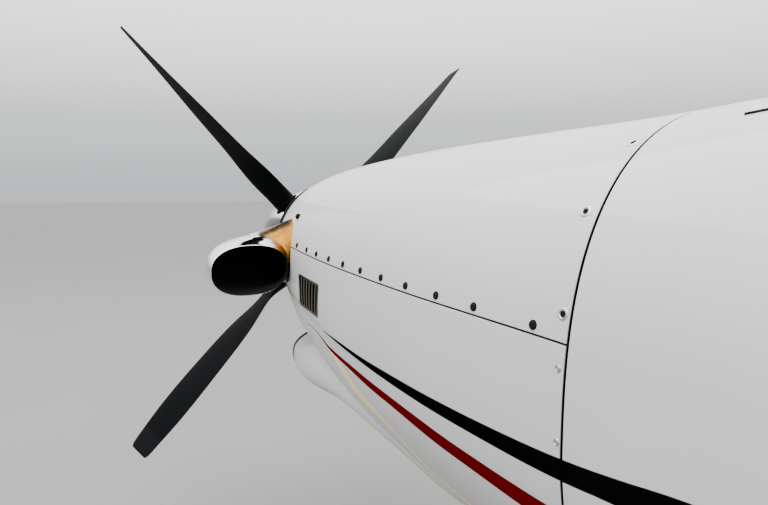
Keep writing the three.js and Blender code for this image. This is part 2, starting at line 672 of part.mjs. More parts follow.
const JACK_PAD = { x: 2300, st: 3500, bottom: 795, radius: 24 };
const TIE_DOWN = { st: 7000, bottom: 1070, radius: 20 };
function wings() {
  const hullKeepOut = hull(cabinStations, -TOUCH_GAP);
  const { x: padX, st: padSt, bottom, radius: padRadius } = JACK_PAD;
  const jackPad = bar([padX, padSt, bottom], [padX, padSt, bottom + 50], padRadius, 16);
  const full = union(loft(WING.map(wingRing)).subtract(gearBay()), jackPad);
  const frame = hingeFrame(...flapHinge);
  const { length } = frame;
  const cut = frameBox(frame, -SURFACE_END_GAP, length + SURFACE_END_GAP, -FLAP_GAP, 3000);
  const flapBody = full.intersect(frameBox(frame, 0, length, 0, 3000));
  const lugs = FLAP.brackets.map((x) => ((x - FLAP.inner) / (FLAP.outer - FLAP.inner)) * length);
  const lug = [[8, 95], [150, 88], [20, -14], [-12, -14], [-14, 12]];
  const arm = [[-190, 95], [-22, 62], [10, 14], [12, -14], [-16, -14]];
  const flap = union(flapBody, ...lugs.map((u) => hingePlate(frame, lug, u, u + 12)));
  const arms = lugs.map((u) => hingePlate(frame, arm, u + 12 + TOUCH_GAP, u + 24));
  const withFlapBay = union(full.subtract(cut), ...arms);
  const nose = { inner: 44, outer: 27 };
  const { fixed, moving } = hingedSurface(withFlapBay, ...aileronHinge, nose.inner, nose.outer);
  for (const [name, side] of [["left", 1], ["right", -1]]) {
    piece("wing_" + name, onSide(side, fixed).subtract(hullKeepOut), whitePaint);
    piece("flap_" + name, onSide(side, flap), whitePaint);
    piece("aileron_" + name, onSide(side, moving), whitePaint);
  }
}

// Fin and rudder. Rows: height, leading edge station, trailing edge station, thickness share
const FIN = [
  [1420, 6810, 8390, 0.085],
  [1780, 6960, 8430, 0.09],
  [2050, 7150, 8452, 0.09],
  [3330, 7930, 8556, 0.09],
  [3400, 7990, 8562, 0.075],
  [3440, 8080, TAIL_END, 0.05],
];
const RUDDER = { low: [0, 8118, 1420], high: [0, 8322, 3330], nose: 40, noseHigh: 24 };
// Dorsal fillet ahead of the fin: station, top, half width
const DORSAL = [[5950, 1880, 8], [6400, 1925, 16], [6960, 2000, 30], [7350, 2150, 44]];
function tail() {
  const cone = hull(tailStations);
  const innerStations = [AFT_BULKHEAD - 50, ...tailStations.slice(1, -1), TAIL_CONE_END - 60];
  let shell = cone.subtract(hull(innerStations, TAIL_WALL));
  const keepOut = hull([...tailStations.slice(0, -1), TAIL_CONE_END + TOUCH_GAP], -TOUCH_GAP);
  const finBlade = loft(
    FIN.map(([z, lead, trail, thickness]) =>
      aerofoil(trail - lead, thickness, 0, 8).map(([along, up]) => [up, lead + along, z]),
    ),
  );
  const fillet = loft(
    DORSAL.map(([st, top, half]) => [
      [-half, st, 1600],
      [half, st, 1600],
      [half * 0.9, st, top - 45],
      [half * 0.35, st, top],
      [-half * 0.35, st, top],
      [-half * 0.9, st, top - 45],
    ]),
  );
  const a = RUDDER.low;
  const b = RUDDER.high;
  const frame = hingeFrame(a, b);
  const bay = frameBox(frame, -20, frame.length + SURFACE_END_GAP, -(RUDDER.nose + SURFACE_NOSE_GAP), 3000);
  const body = finBlade.intersect(frameBox(frame, 0, frame.length, 0, 3000));
  const round = bar(a, b, RUDDER.nose, 16, RUDDER.noseHigh);
  const topPin = bar(frame.at(frame.length + TOUCH_GAP), frame.at(frame.length + 40), 9);
  const fin = union(union(finBlade, fillet).subtract(bay).subtract(keepOut), topPin);
  const elevatorHole = bar([-400, ELEVATOR_HINGE.st, ELEVATOR_HINGE.z], [400, ELEVATOR_HINGE.st, ELEVATOR_HINGE.z], 36, 20);
  const lug = union(bar(frame.at(-34), frame.at(-TOUCH_GAP), 22), box(-14, 14, 8030, 8112, 1388, 1412));
  const tieDown = bar([0, TIE_DOWN.st, TIE_DOWN.bottom], [0, TIE_DOWN.st, TIE_DOWN.bottom + 30], TIE_DOWN.radius, 16);
  shell = union(shell.subtract(elevatorHole), lug, tieDown);
  return { shell, fin, rudder: union(body, round) };
}

// Tailplane and elevator. Rows: x, leading edge station, trailing edge station, thickness share
const TAILPLANE = [
  [60, 7330, 8290, 0.1],
  [2150, 7560, 8190, 0.09],
  [2220, 7610, 8180, 0.07],
  [2260, 7700, 8165, 0.04],
];
const TAILPLANE_HEIGHT = 1475;
const ELEVATOR = { inner: 185, outer: 2140 };
function tailplane() {
  const half = loft(
    TAILPLANE.map(([x, lead, trail, thickness]) =>
      aerofoil(trail - lead, thickness, 0, 8).map(([along, up]) => [x, lead + along, TAILPLANE_HEIGHT + up]),
    ),
  );
  const { st, z, nose } = ELEVATOR_HINGE;
  return hingedSurface(half, [ELEVATOR.inner, st, z], [ELEVATOR.outer, st, z], nose, nose * 0.8, -ELEVATOR.inner);
}

function empennage() {
  const { shell, fin, rudder } = tail();
  const { fixed, moving } = tailplane();
  const { st, z } = ELEVATOR_HINGE;
  const tube = bar([-ELEVATOR.inner - 10, st, z], [ELEVATOR.inner + 10, st, z], 20, 16);
  const tubeClear = bar([-ELEVATOR.inner - 40, st, z], [ELEVATOR.inner + 40, st, z], 27, 16);
  piece("tail_cone", shell, whitePaint);
  piece("fin", fin, whitePaint);
  piece("rudder", rudder, whitePaint);
  const keepOut = hull([...tailStations.slice(0, -1), TAIL_CONE_END], -TOUCH_GAP);
  for (const [name, side] of [["left", 1], ["right", -1]]) {
    piece("tailplane_" + name, onSide(side, fixed.subtract(tubeClear)).subtract(keepOut), whitePaint);
  }
  piece("elevator", union(moving, mirrored(moving), tube), whitePaint);
}

// Propeller. Rows: radius, chord, thickness, degrees from the plane of rotation (feathered), sweep of the chord's middle
const BLADE = [
  [185, 92, 88, 100, 0],
  [250, 118, 66, 108, 0],
  [330, 148, 42, 108, 4],
  [480, 172, 28, 100, 6],
  [680, 182, 20, 92, 6],
  [860, 172, 15, 86, 4],
  [985, 150, 11, 82, 2],
  [PROPELLER_RADIUS - 12, 128, 8, 80, 0],
  [PROPELLER_RADIUS, 104, 5, 80, 0],
];
const BLADE_COUNT = 4;
const HUB_RADIUS = 118;
const BACKPLATE = 6;
const SPINNER_WALL = 8;
const SPINNER_BORE = SPINNER_RADIUS - 9;
const SPINNER_SEGMENTS = 24;

// A blade points along +Z; its leading edge faces forward and turns clockwise seen from behind
function bladeRing([radius, chord, thickness, degrees, sweep]) {
  const pitch = THREE.MathUtils.degToRad(degrees);
  return Array.from({ length: 12 }, (_, i) => {
    const a = (2 * Math.PI * i) / 12;
    const along = (chord / 2) * Math.cos(a) + sweep;
    const across = (thickness / 2) * Math.sin(a);
    const x = -along * Math.cos(pitch) - across * Math.sin(pitch);
    const y = -along * Math.sin(pitch) + across * Math.cos(pitch);
    return [x, y, radius];
  });
}
function blade() {
  const shank = bar([0, 0, 60], [0, 0, 200], 44, 18);
  return union(loft(BLADE.map(bladeRing)), shank);
}
const spinnerRadiusAt = (st) =>
  SPINNER_RADIUS * Math.sin((Math.PI / 2) * ((st + SPINNER_LENGTH) / (SPINNER_LENGTH + SPINNER_BACK))) ** 0.75;
function spinnerProfile(inset) {
  const steps = inset ? 5 : 8;
  const points = [];
  for (let i = 0; i <= steps; i++) {
    const st = -SPINNER_LENGTH + inset + ((SPINNER_LENGTH + SPINNER_BACK - inset) * (i / steps) ** 1.6);
    const radius = i === 0 ? 0 : Math.max(spinnerRadiusAt(st) - inset, 1);
    points.push(new THREE.Vector2(radius, -st));
  }
  points.push(new THREE.Vector2(0, -SPINNER_BACK));
  return points;
}
function spinnerSolid(inset) {
  const geometry = new THREE.LatheGeometry(spinnerProfile(inset).reverse(), SPINNER_SEGMENTS);
  const flip = new THREE.Matrix4().makeBasis(
    new THREE.Vector3(1, 0, 0),
    new THREE.Vector3(0, -1, 0),
    new THREE.Vector3(0, 0, -1),
  );
  return turned(geometry, flip);
}
function propeller() {
  const unit = new THREE.Group();
  unit.position.set(0, 0, HUB_HEIGHT);
  airframe.add(unit);
  const angles = Array.from({ length: BLADE_COUNT }, (_, k) => Math.PI / 4 + (k * 2 * Math.PI) / BLADE_COUNT);
  const around = (shape, angle) => turned(geometryOf(shape), new THREE.Matrix4().makeRotationY(angle));
  const oneBlade = blade();
  const blades = angles.map((angle) => around(oneBlade, angle));
  const hub = bar([0, -95, 0], [0, SPINNER_BACK - 2, 0], HUB_RADIUS, 20);
  const backplate = bar([0, SPINNER_BACK - TOUCH_GAP - BACKPLATE, 0], [0, SPINNER_BACK - TOUCH_GAP, 0], SPINNER_BORE - TOUCH_GAP, SPINNER_SEGMENTS);
  const cutter = bar([0, 0, 100], [0, 0, 400], 72, 20);
  let shell = spinnerSolid(0)
    .subtract(spinnerSolid(SPINNER_WALL))
    .subtract(bar([0, 60, 0], [0, 200, 0], SPINNER_BORE, SPINNER_SEGMENTS));
  for (const angle of angles) shell = shell.subtract(around(cutter, angle));
  piece("propeller", union(hub, backplate, ...blades), bladePaint, [0, 0, 0], unit);
  piece("spinner", shell, polishedMetal, [0, 0, 0], unit);
}

// Wheels lie along X, each resting on a flat facet of its tyre
const TYRE_SEGMENTS = 24;
function tyre(radius, width, rimRadius) {
  const half = width / 2;
  const crown = radius / Math.cos(Math.PI / TYRE_SEGMENTS);
  const inner = rimRadius + TOUCH_GAP;
  const profile = [
    [inner, -half * 0.72],
    [inner + (crown - inner) * 0.35, -half * 0.97],
    [inner + (crown - inner) * 0.62, -half],
    [crown - (crown - inner) * 0.1, -half * 0.8],
    [crown, -half * 0.42],
    [crown, half * 0.42],
    [crown - (crown - inner) * 0.1, half * 0.8],
    [inner + (crown - inner) * 0.62, half],
    [inner + (crown - inner) * 0.35, half * 0.97],
    [inner, half * 0.72],
  ];
  return wheelLathe(profile, TYRE_SEGMENTS);
}
function wheelLathe(profile, segments) {
  const points = [...profile, profile[0]].map(([r, x]) => new THREE.Vector2(r, x));
  const geometry = new THREE.LatheGeometry(points, segments, Math.PI / segments);
  const across = new THREE.Matrix4().makeBasis(
    new THREE.Vector3(0, 0, 1),
    new THREE.Vector3(1, 0, 0),
    new THREE.Vector3(0, 1, 0),
  );
  return turned(geometry, across);
}
function rim(radius, width, bore) {
  const half = width / 2;
  const profile = [
    [bore, -half * 0.6],
    [bore + 32, -half * 0.6],
    [radius * 0.84, -half * 0.3],
    [radius * 0.86, -half * 0.8],
    [radius, -half * 0.8],
    [radius, half * 0.8],
    [radius * 0.86, half * 0.8],
    [radius * 0.84, half * 0.3],
    [bore + 32, half * 0.6],
    [bore, half * 0.6],
  ];
  return wheelLathe(profile, TYRE_SEGMENTS);
}

const RUNNING_CLEARANCE = 0.06;
const boreFor = (axle) => (axle + RUNNING_CLEARANCE) / Math.cos(Math.PI / TYRE_SEGMENTS);
const MAIN_TYRE_WIDTH = 160;
const NOSE_TYRE_WIDTH = 126;
const MAIN_RIM_RADIUS = 92;
const NOSE_RIM_RADIUS = 76;
const MAIN_AXLE_RADIUS = 19;
const NOSE_AXLE_RADIUS = 12;

function mainGear() {
  const st = MAIN_GEAR_STATION;
  const axleZ = MAIN_TYRE_RADIUS;
  const cylinder = bar([LEG_X, st, 470], [LEG_X, st, LEG_PIVOT_Z], 40, 16);
  const trunnion = bar([LEG_X, st - LEG_SLOT.half + TOUCH_GAP, LEG_PIVOT_Z], [LEG_X, st + LEG_SLOT.half - TOUCH_GAP, LEG_PIVOT_Z], 30, 14);
  const piston = bar([LEG_X, st, axleZ - 10], [LEG_X, st, 480], 29, 14);
  const foot = bar([LEG_X, st, axleZ - 34], [LEG_X, st, axleZ + 44], 36, 14);
  const axle = bar([LEG_X - 10, st, axleZ], [MAIN_WHEEL_X + 58, st, axleZ], MAIN_AXLE_RADIUS, 24);
  const collar = bar([LEG_X + 30, st, axleZ], [MAIN_WHEEL_X - 46, st, axleZ], 34, 14);
  const linkTop = box(LEG_X - 26, LEG_X + 26, st + 20, st + 110, 470, 500);
  const upperLink = sidePrism([[st + 92, 505], [st + 128, 380], [st + 108, 374], [st + 70, 500]], LEG_X - 22, LEG_X + 22);
  const lowerLink = sidePrism([[st + 128, 392], [st + 118, 352], [st + 20, 226], [st + 20, 268]], LEG_X - 18, LEG_X + 18);
  const brace = bar([LEG_X - 10, st, 610], [LEG_X - 235, st, 800], 17, 12);
  const braceFoot = box(LEG_X - 262, LEG_X - 214, st - LEG_SLOT.half + TOUCH_GAP, st + LEG_SLOT.half - TOUCH_GAP, 786, 816);
  const doorArm = (z) => bar([LEG_X, st, z], [LEG_X + 74 - TOUCH_GAP, st, z], 10);
  const leg = union(
    cylinder, trunnion, piston, foot, axle, collar, linkTop, upperLink, lowerLink, brace, braceFoot, doorArm(700), doorArm(520),
  );
  const door = sidePrism(
    [[st - 128, 738], [st + 128, 738], [st + 118, 520], [st + 60, 462], [st - 60, 462], [st - 118, 520]],
    LEG_X + 74, LEG_X + 84,
  );
  const axleBore = boreFor(MAIN_AXLE_RADIUS);
  for (const [name, side] of [["left", 1], ["right", -1]]) {
    piece("main_leg_" + name, onSide(side, leg), legPaint);
    piece("main_door_" + name, onSide(side, door), whitePaint);
    const at = [side * MAIN_WHEEL_X, st, axleZ];
    piece("main_tyre_" + name, tyre(MAIN_TYRE_RADIUS, MAIN_TYRE_WIDTH, MAIN_RIM_RADIUS), tyreRubber, at);
    piece("main_rim_" + name, rim(MAIN_RIM_RADIUS, MAIN_TYRE_WIDTH * 0.86, axleBore), whitePaint, at);
  }
}

function noseGear() {
  const st = NOSE_LEG_STATION;
  const wheelSt = st + NOSE_WHEEL_TRAIL;
  const axleZ = NOSE_TYRE_RADIUS;
  const cylinder = bar([0, st, 520], [0, st, 900], 36, 20);
  const truss = union(
    box(-60, 60, st, FIREWALL - TOUCH_GAP, 830, 870),
    bar([0, st, 600], [0, FIREWALL - 40, 840], 14, 12),
  );
  piece("nose_leg", union(cylinder, truss), legPaint);
  const piston = bar([0, st, 380], [0, st, 520 - TOUCH_GAP], 25, 18);
  const crown = box(-84, 84, st - 34, wheelSt + 30, 378, 402);
  const arms = [-84, 70].map((x) =>
    sidePrism([[st - 22, 395], [wheelSt + 26, 395], [wheelSt + 24, axleZ - 22], [wheelSt - 24, axleZ - 22]], x, x + 14),
  );
  const axle = bar([-80, wheelSt, axleZ], [80, wheelSt, axleZ], NOSE_AXLE_RADIUS, 24);
  const link = union(
    sidePrism([[st - 60, 515], [st - 20, 519], [st - 20, 495], [st - 50, 495]], -18, 18),
    sidePrism([[st - 62, 515], [st - 40, 515], [st - 96, 455], [st - 112, 460]], -18, 18),
    sidePrism([[st - 112, 462], [st - 94, 452], [st - 20, 392], [st - 30, 380]], -16, 16),
  );
  piece("nose_fork", union(piston, crown, ...arms, axle, link), legPaint);
  const at = [0, wheelSt, axleZ];
  piece("nose_tyre", tyre(NOSE_TYRE_RADIUS, NOSE_TYRE_WIDTH, NOSE_RIM_RADIUS), tyreRubber, at);
  piece("nose_rim", rim(NOSE_RIM_RADIUS, NOSE_TYRE_WIDTH * 0.8, boreFor(NOSE_AXLE_RADIUS)), whitePaint, at);
  const door = sidePrism(
    [[st - 70, 704], [FIREWALL, 676], [2180, 640], [2180, 470], [st + 60, 440], [st - 70, 500]],
    NOSE_BAY_HALF - 8 - TOUCH_GAP, NOSE_BAY_HALF - TOUCH_GAP,
  );
  for (const [name, side] of [["left", 1], ["right", -1]]) {
    piece("nose_door_" + name, onSide(side, door), whitePaint);
  }
}

// Cabin furniture that shows through the glass
const FLOOR_TOP = 862;
const FLOOR_THICK = 30;
const FRONT_SEATS = 2900;
const AFT_FACING_SEATS = 4200;
const REAR_SEATS = 4880;
function seat(width, facing) {
  const base = box(-width * 0.26, width * 0.26, 60, 380, TOUCH_GAP, 210);
  const cushion = box(-width / 2, width / 2, 0, 470, 200, 310);
  const back = sidePrism([[400, 240], [500, 230], [600, 800], [510, 810]], -width / 2, width / 2, 30);
  const head = sidePrism([[530, 790], [585, 790], [612, 930], [555, 935]], -width * 0.26, width * 0.26, 20);
  const shape = union(base, cushion, back, head);
  if (facing > 0) return shape;
  const turnRound = new THREE.Matrix4().makeRotationZ(Math.PI);
  return turned(geometryOf(shape), turnRound);
}
function interior() {
  const innerSkin = cabinSkin(CABIN_WALL + TOUCH_GAP);
  const floor = box(-900, 900, 2300, AFT_BULKHEAD - CABIN_WALL - TOUCH_GAP, FLOOR_TOP - FLOOR_THICK, FLOOR_TOP).intersect(innerSkin);
  const spar = box(-420, 420, 3150, 3260, 645, FLOOR_TOP - 10);
  piece("cabin_floor", union(floor, spar.intersect(innerSkin)), cabinGrey);
  const panel = union(
    sidePrism([[2330, 1640], [2700, 1655], [2700, 1630], [2640, 1600], [2600, 1240], [2520, 1240], [2330, 1610]], -900, 900),
    box(-110, 110, 2480, 2620, FLOOR_TOP + TOUCH_GAP, 1300),
  );
  piece("instrument_panel", panel.intersect(innerSkin), cabinGrey);
  for (const [name, side] of [["left", 1], ["right", -1]]) {
    piece("front_seat_" + name, seat(470, 1), leatherTan, [side * 285, FRONT_SEATS, FLOOR_TOP]);
  }
  const pair = (facing, width, apart) => {
    const one = seat(width, facing);
    const shift = (x) => turned(geometryOf(one), new THREE.Matrix4().makeTranslation(x, 0, 0));
    const armrest = box(-apart, apart, facing > 0 ? 100 : -380, facing > 0 ? 380 : -100, TOUCH_GAP, 400);
    return union(shift(apart), shift(-apart), armrest);
  };
  piece("club_seats_aft_facing", pair(-1, 450, 280), leatherTan, [0, AFT_FACING_SEATS, FLOOR_TOP]);
  piece("club_seats_forward_facing", pair(1, 400, 222), leatherTan, [0, REAR_SEATS, FLOOR_TOP]);
}

cowls();
engine();
cabin();
interior();
wings();
empennage();
propeller();
mainGear();
noseGear();

export default group;
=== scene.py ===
import math

import bpy
import numpy as np
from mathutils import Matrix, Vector


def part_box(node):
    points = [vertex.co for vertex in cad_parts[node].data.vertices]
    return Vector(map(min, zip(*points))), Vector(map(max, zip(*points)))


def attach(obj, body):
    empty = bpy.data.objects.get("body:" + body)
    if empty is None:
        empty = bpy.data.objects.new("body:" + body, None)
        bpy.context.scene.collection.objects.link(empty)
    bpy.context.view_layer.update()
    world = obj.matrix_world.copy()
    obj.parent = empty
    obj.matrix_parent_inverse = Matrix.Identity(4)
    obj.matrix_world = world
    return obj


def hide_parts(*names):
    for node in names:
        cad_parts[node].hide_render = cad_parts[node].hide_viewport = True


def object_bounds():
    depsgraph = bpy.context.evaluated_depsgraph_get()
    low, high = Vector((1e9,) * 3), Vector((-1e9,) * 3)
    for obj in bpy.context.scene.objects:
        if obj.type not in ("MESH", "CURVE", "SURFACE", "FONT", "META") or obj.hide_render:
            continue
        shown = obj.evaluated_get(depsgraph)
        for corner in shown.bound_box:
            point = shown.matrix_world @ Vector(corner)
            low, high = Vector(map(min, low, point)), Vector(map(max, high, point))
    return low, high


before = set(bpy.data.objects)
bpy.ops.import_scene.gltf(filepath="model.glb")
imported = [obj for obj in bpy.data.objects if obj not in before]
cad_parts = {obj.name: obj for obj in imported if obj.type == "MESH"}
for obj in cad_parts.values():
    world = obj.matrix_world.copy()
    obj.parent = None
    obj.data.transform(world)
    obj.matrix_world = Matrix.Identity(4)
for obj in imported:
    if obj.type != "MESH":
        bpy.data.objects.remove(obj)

CAD_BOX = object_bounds()
SPINNER_LENGTH = 430.0
MID_LENGTH = -CAD_BOX[0][1] * 1000 - SPINNER_LENGTH
HUB_HEIGHT = (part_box("spinner")[0].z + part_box("spinner")[1].z) * 500
SPINNER_RADIUS = (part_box("spinner")[1].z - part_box("spinner")[0].z) * 500
FIREWALL = 1720.0
AFT_BULKHEAD = 5600.0
COWL_FRONT = 110.0
SIDES = {"left": 1, "right": -1}

# Hull sections: station, half width, top, bottom, height of the widest point, powers above and below it
HULL = np.array([
    [110, 228, 1520, 1075, 1300, 2.0, 2.0],
    [200, 268, 1548, 1020, 1290, 2.05, 2.1],
    [400, 335, 1584, 900, 1262, 2.15, 2.2],
    [800, 432, 1622, 792, 1205, 2.35, 2.25],
    [1250, 502, 1646, 700, 1160, 2.55, 2.12],
    [1720, 544, 1668, 645, 1130, 2.7, 2.15],
    [2250, 608, 1730, 600, 1150, 2.6, 2.45],
    [2650, 655, 1895, 590, 1190, 2.4, 2.4],
    [3050, 678, 2030, 585, 1240, 2.25, 2.25],
    [3500, 685, 2065, 585, 1270, 2.2, 2.2],
    [4600, 676, 2050, 620, 1290, 2.2, 2.2],
    [5600, 578, 1965, 770, 1330, 2.1, 2.1],
    [6600, 385, 1825, 990, 1400, 2.05, 2.05],
    [7500, 215, 1690, 1200, 1460, 2.0, 2.0],
    [8050, 105, 1600, 1330, 1480, 2.0, 2.0],
])


def follow(table, column, at):
    """Cubic pieces through a table's column, with slopes taken between the neighbouring rows."""
    at = np.asarray(at, float)
    x, y = table[:, 0], table[:, column]
    k = np.arange(len(x))
    before, after = np.maximum(k - 1, 0), np.minimum(k + 1, len(x) - 1)
    slope = (y[after] - y[before]) / (x[after] - x[before])
    i = np.clip(np.searchsorted(x, at, side="left") - 1, 0, len(x) - 2)
    span = x[i + 1] - x[i]
    t = (at - x[i]) / span
    rise = slope[i] * span * (t**3 - 2 * t**2 + t) + slope[i + 1] * span * (t**3 - t**2)
    return y[i] * (2 * t**3 - 3 * t**2 + 1) + y[i + 1] * (3 * t**2 - 2 * t**3) + rise


def signed_power(value, power):
    return np.sign(value) * np.abs(value) ** power


def section(st):
    return [follow(HULL, column, st) for column in range(1, 7)]


def hull_point(st, angle, inset=0.0):
    """x = half width * cos^(2/power), height = widest point + rise * sin^(2/power), moved in by inset."""
    half, top, bottom, waist, upper, lower = section(st)
    c, s = np.cos(angle), np.sin(angle)
    power = np.where(s >= 0, upper, lower)
    rise = np.where(s >= 0, top - waist, waist - bottom) - inset
    x = (half - inset) * signed_power(c, 2 / power)
    z = waist + rise * signed_power(s, 2 / power)
    return np.stack(np.broadcast_arrays(x, st, z), -1)


def hull_angle(st, z, inset=0.0):
    """The angle at which a hull section above its widest point reaches the height z."""
    _, top, _, waist, power, _ = section(st)
    return np.arcsin(np.clip((z - waist) / (top - waist - inset), 0, 1) ** (power / 2))


def skin_x(st, z, inset=0.0):
    """Half width of the hull at a station and height: half width * (1 - share^power)^(1/power)."""
    half, top, bottom, waist, upper, lower = section(st)
    power = np.where(z > waist, upper, lower)
    share = np.abs(z - waist) / (np.where(z > waist, top - waist, waist - bottom) - inset)
    return (half - inset) * np.maximum(1 - share**power, 0) ** (1 / power)


def hull_normal(points):
    """Unit slope of (|x| / half width)^power + (|z - waist| / rise)^power, from steps of 1 mm each way."""
    def level(p):
        half, top, bottom, waist, upper, lower = section(p[:, 1])
        power = np.where(p[:, 2] >= waist, upper, lower)
        rise = np.where(p[:, 2] >= waist, top - waist, waist - bottom)
        return (np.abs(p[:, 0]) / half) ** power + (np.abs(p[:, 2] - waist) / rise) ** power
    slope = np.stack([level(points + step) - level(points - step) for step in np.eye(3)], -1)
    return slope / np.maximum(np.linalg.norm(slope, axis=1, keepdims=True), 1e-12)


# Meshes
class Form:
    """Gathers closed shapes, in millimetres, that become one mesh."""

    def __init__(self):
        self.points, self.faces, self.count = [], [], 0

    def add(self, points, faces, inside_out):
        """Adds a closed shape, its faces turned to bound a positive volume, or a negative one inside out."""
        points = np.asarray(points, float).reshape(-1, 3)
        volume = 0.0
        for face in faces:
            a = points[face[:, 0]]
            for k in range(1, face.shape[1] - 1):
                volume += np.einsum("ij,ij->", a, np.cross(points[face[:, k]], points[face[:, k + 1]]))
        if (volume < 0) != inside_out:
            faces = [face[:, ::-1] for face in faces]
        self.points.append(points)
        for face in faces:
            self.faces.extend((face + self.count).tolist())
        self.count += len(points)
        return self

    def grid(self, points, wrap_rows=False, inside_out=False):
        """Rings of points joined into quads; unless the rings wrap round, a flat face closes each end."""
        rows, columns = points.shape[:2]
        r = np.arange(rows if wrap_rows else rows - 1)[:, None]
        c = np.arange(columns)[None, :]
        ahead, beside = (r + 1) % rows, (c + 1) % columns
        here, next_row = r * columns, ahead * columns
        quads = np.stack([here + c, here + beside, next_row + beside, next_row + c], -1)
        faces = [quads.reshape(-1, 4)]
        if not wrap_rows:
            first = np.arange(columns)
            faces += [first[None, ::-1], (first + (rows - 1) * columns)[None, :]]
        return self.add(points, faces, inside_out)

    def mirrored(self):
        """The same shapes on the other side of the aeroplane."""
        other = Form()
        other.points = [points * (-1, 1, 1) for points in self.points]
        other.faces = [face[::-1] for face in self.faces]
        other.count = self.count
        return other

    def join(self, other):
        self.points += other.points
        self.faces += [[i + self.count for i in face] for face in other.faces]
        self.count += other.count
        return self

    def mesh(self, name):
        mesh = bpy.data.meshes.new(name)
        points = (np.concatenate(self.points) - (0, MID_LENGTH, 0)) * 0.001
        mesh.from_pydata(points.tolist(), [], self.faces)
        mesh.update()
        return mesh


def piece(name, form, body, slot, looks, node=None, angle=35, bevel=0.0, levels=0):
    """Makes a form into a piece that rides on a body, wears its materials and may stand for a solid."""
    mesh = form.mesh(name) if isinstance(form, Form) else form
    mesh.name = name
    thing = bpy.data.objects.new(name, mesh)
    bpy.context.scene.collection.objects.link(thing)
    for look in looks if isinstance(looks, (list, tuple)) else [looks]:
        mesh.materials.append(look)
    if not mesh.has_custom_normals:
        mesh.shade_smooth()
        mesh.set_sharp_from_angle(angle=math.radians(angle))
    if bevel:
        modifier = thing.modifiers.new("edges", "BEVEL")
        modifier.width, modifier.segments = bevel * 0.001, 2
        modifier.limit_method, modifier.angle_limit = "ANGLE", math.radians(angle)
    if levels:
        modifier = thing.modifiers.new("smooth", "SUBSURF")
        modifier.levels = modifier.render_levels = levels
    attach(thing, body)
    if node:
        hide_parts(*([node] if isinstance(node, str) else node))
    return thing


def cut(shape, cutter, operation="DIFFERENCE"):
    """The mesh of a shape less, or shared with, a cutter; both are forms or meshes."""
    scene = bpy.context.scene
    pair = []
    for part in (shape, cutter):
        mesh = part.mesh("cut") if isinstance(part, Form) else part
        thing = bpy.data.objects.new("cut", mesh)
        scene.collection.objects.link(thing)
        pair.append(thing)
    modifier = pair[0].modifiers.new("cut", "BOOLEAN")
    modifier.operation, modifier.object, modifier.solver = operation, pair[1], "EXACT"
    bpy.context.view_layer.update()
    result = bpy.data.meshes.new_from_object(pair[0].evaluated_get(bpy.context.evaluated_depsgraph_get()))
    for thing in pair:
        mesh = thing.data
        bpy.data.objects.remove(thing)
        bpy.data.meshes.remove(mesh)
    return result


def read(collection, name, width, kind=np.float32):
    values = np.empty(len(collection) * width, kind)
    collection.foreach_get(name, values)
    return values.reshape(-1, width) if width > 1 else values


def shade_as_hull(mesh, lining=None):
    """Faces along the hull take its own slope as their normal; those that face in may take a lining."""
    points = read(mesh.vertices, "co", 3).astype(float) * 1000 + (0, MID_LENGTH, 0)
    normals = hull_normal(points)
    flat = read(mesh.polygons, "normal", 3)
    totals = read(mesh.polygons, "loop_total", 1, np.int32)
    corners = read(mesh.loops, "vertex_index", 1, np.int32)
    face_of = np.repeat(np.arange(len(totals)), totals)
    slope, face = normals[corners], flat[face_of]
    along = np.einsum("ij,ij->i", slope, face)
    chosen = np.where((along > 0.85)[:, None], slope, np.where((along < -0.85)[:, None], -slope, face))
    if lining is not None:
        outward = np.add.reduceat(along, np.r_[0, np.cumsum(totals)[:-1]]) / totals > 0.6
        mesh.polygons.foreach_set("material_index", np.where(outward, 0, lining).astype(np.int32))
    mesh.shade_smooth()
    mesh.normals_split_custom_set(chosen.tolist())
    return mesh


# Forms
TAU = 2 * math.pi
ACROSS, AFT, UP = (1, 0, 0), (0, 1, 0), (0, 0, 1)


def full_turn(count):
    return np.arange(count) * TAU / count


def rounded(points, corner, steps=7):
    """An outline whose corners are quadratic curves that begin and end corner away from each corner point."""
    here = np.asarray(points, float)
    before, after = np.roll(here, 1, 0) - here, np.roll(here, -1, 0) - here
    start = here + corner * before / np.linalg.norm(before, axis=1, keepdims=True)
    end = here + corner * after / np.linalg.norm(after, axis=1, keepdims=True)
    t = np.linspace(0, 1, steps)[None, :, None]
    curve = (1 - t) ** 2 * start[:, None] + 2 * t * (1 - t) * here[:, None] + t**2 * end[:, None]
    return curve.reshape(-1, 2)


def prism(points, x0, x1, corner=0.0):
    """An outline of (station, height) carried straight across from x0 to x1."""
    flat = rounded(points, corner) if corner else np.asarray(points, float)
    rows = [np.insert(flat, 0, x, axis=1) for x in (x0, x1)]
    return Form().grid(np.stack(rows))


def oblong(low, high, bottom, top):
    return [[low, bottom], [high, bottom], [high, top], [low, top]]


def block(x0, x1, st0, st1, z0, z1, corner=0.0):
    return prism(oblong(st0, st1, z0, z1), x0, x1, corner)


def frame_along(direction):
    """Two unit directions square to the one given."""
    along = np.asarray(direction, float) / np.linalg.norm(direction)
    side = np.cross(along, UP if abs(along[2]) < 0.9 else ACROSS)
    side /= np.linalg.norm(side)
    return side, np.cross(along, side)


def turned_profile(profile, centre, axis, sides=32, wrap=False):
    """A profile of (radius, distance along) turned about an axis through the centre."""
    axis = np.asarray(axis, float) / np.linalg.norm(axis)
    side, up = frame_along(axis)
    radius, along = np.asarray(profile, float).T
    turn = full_turn(sides)[:, None]
    ring = np.maximum(radius, 0.02)[:, None, None] * (np.cos(turn) * side + np.sin(turn) * up)
    return Form().grid(np.asarray(centre) + along[:, None, None] * axis + ring, wrap_rows=wrap)


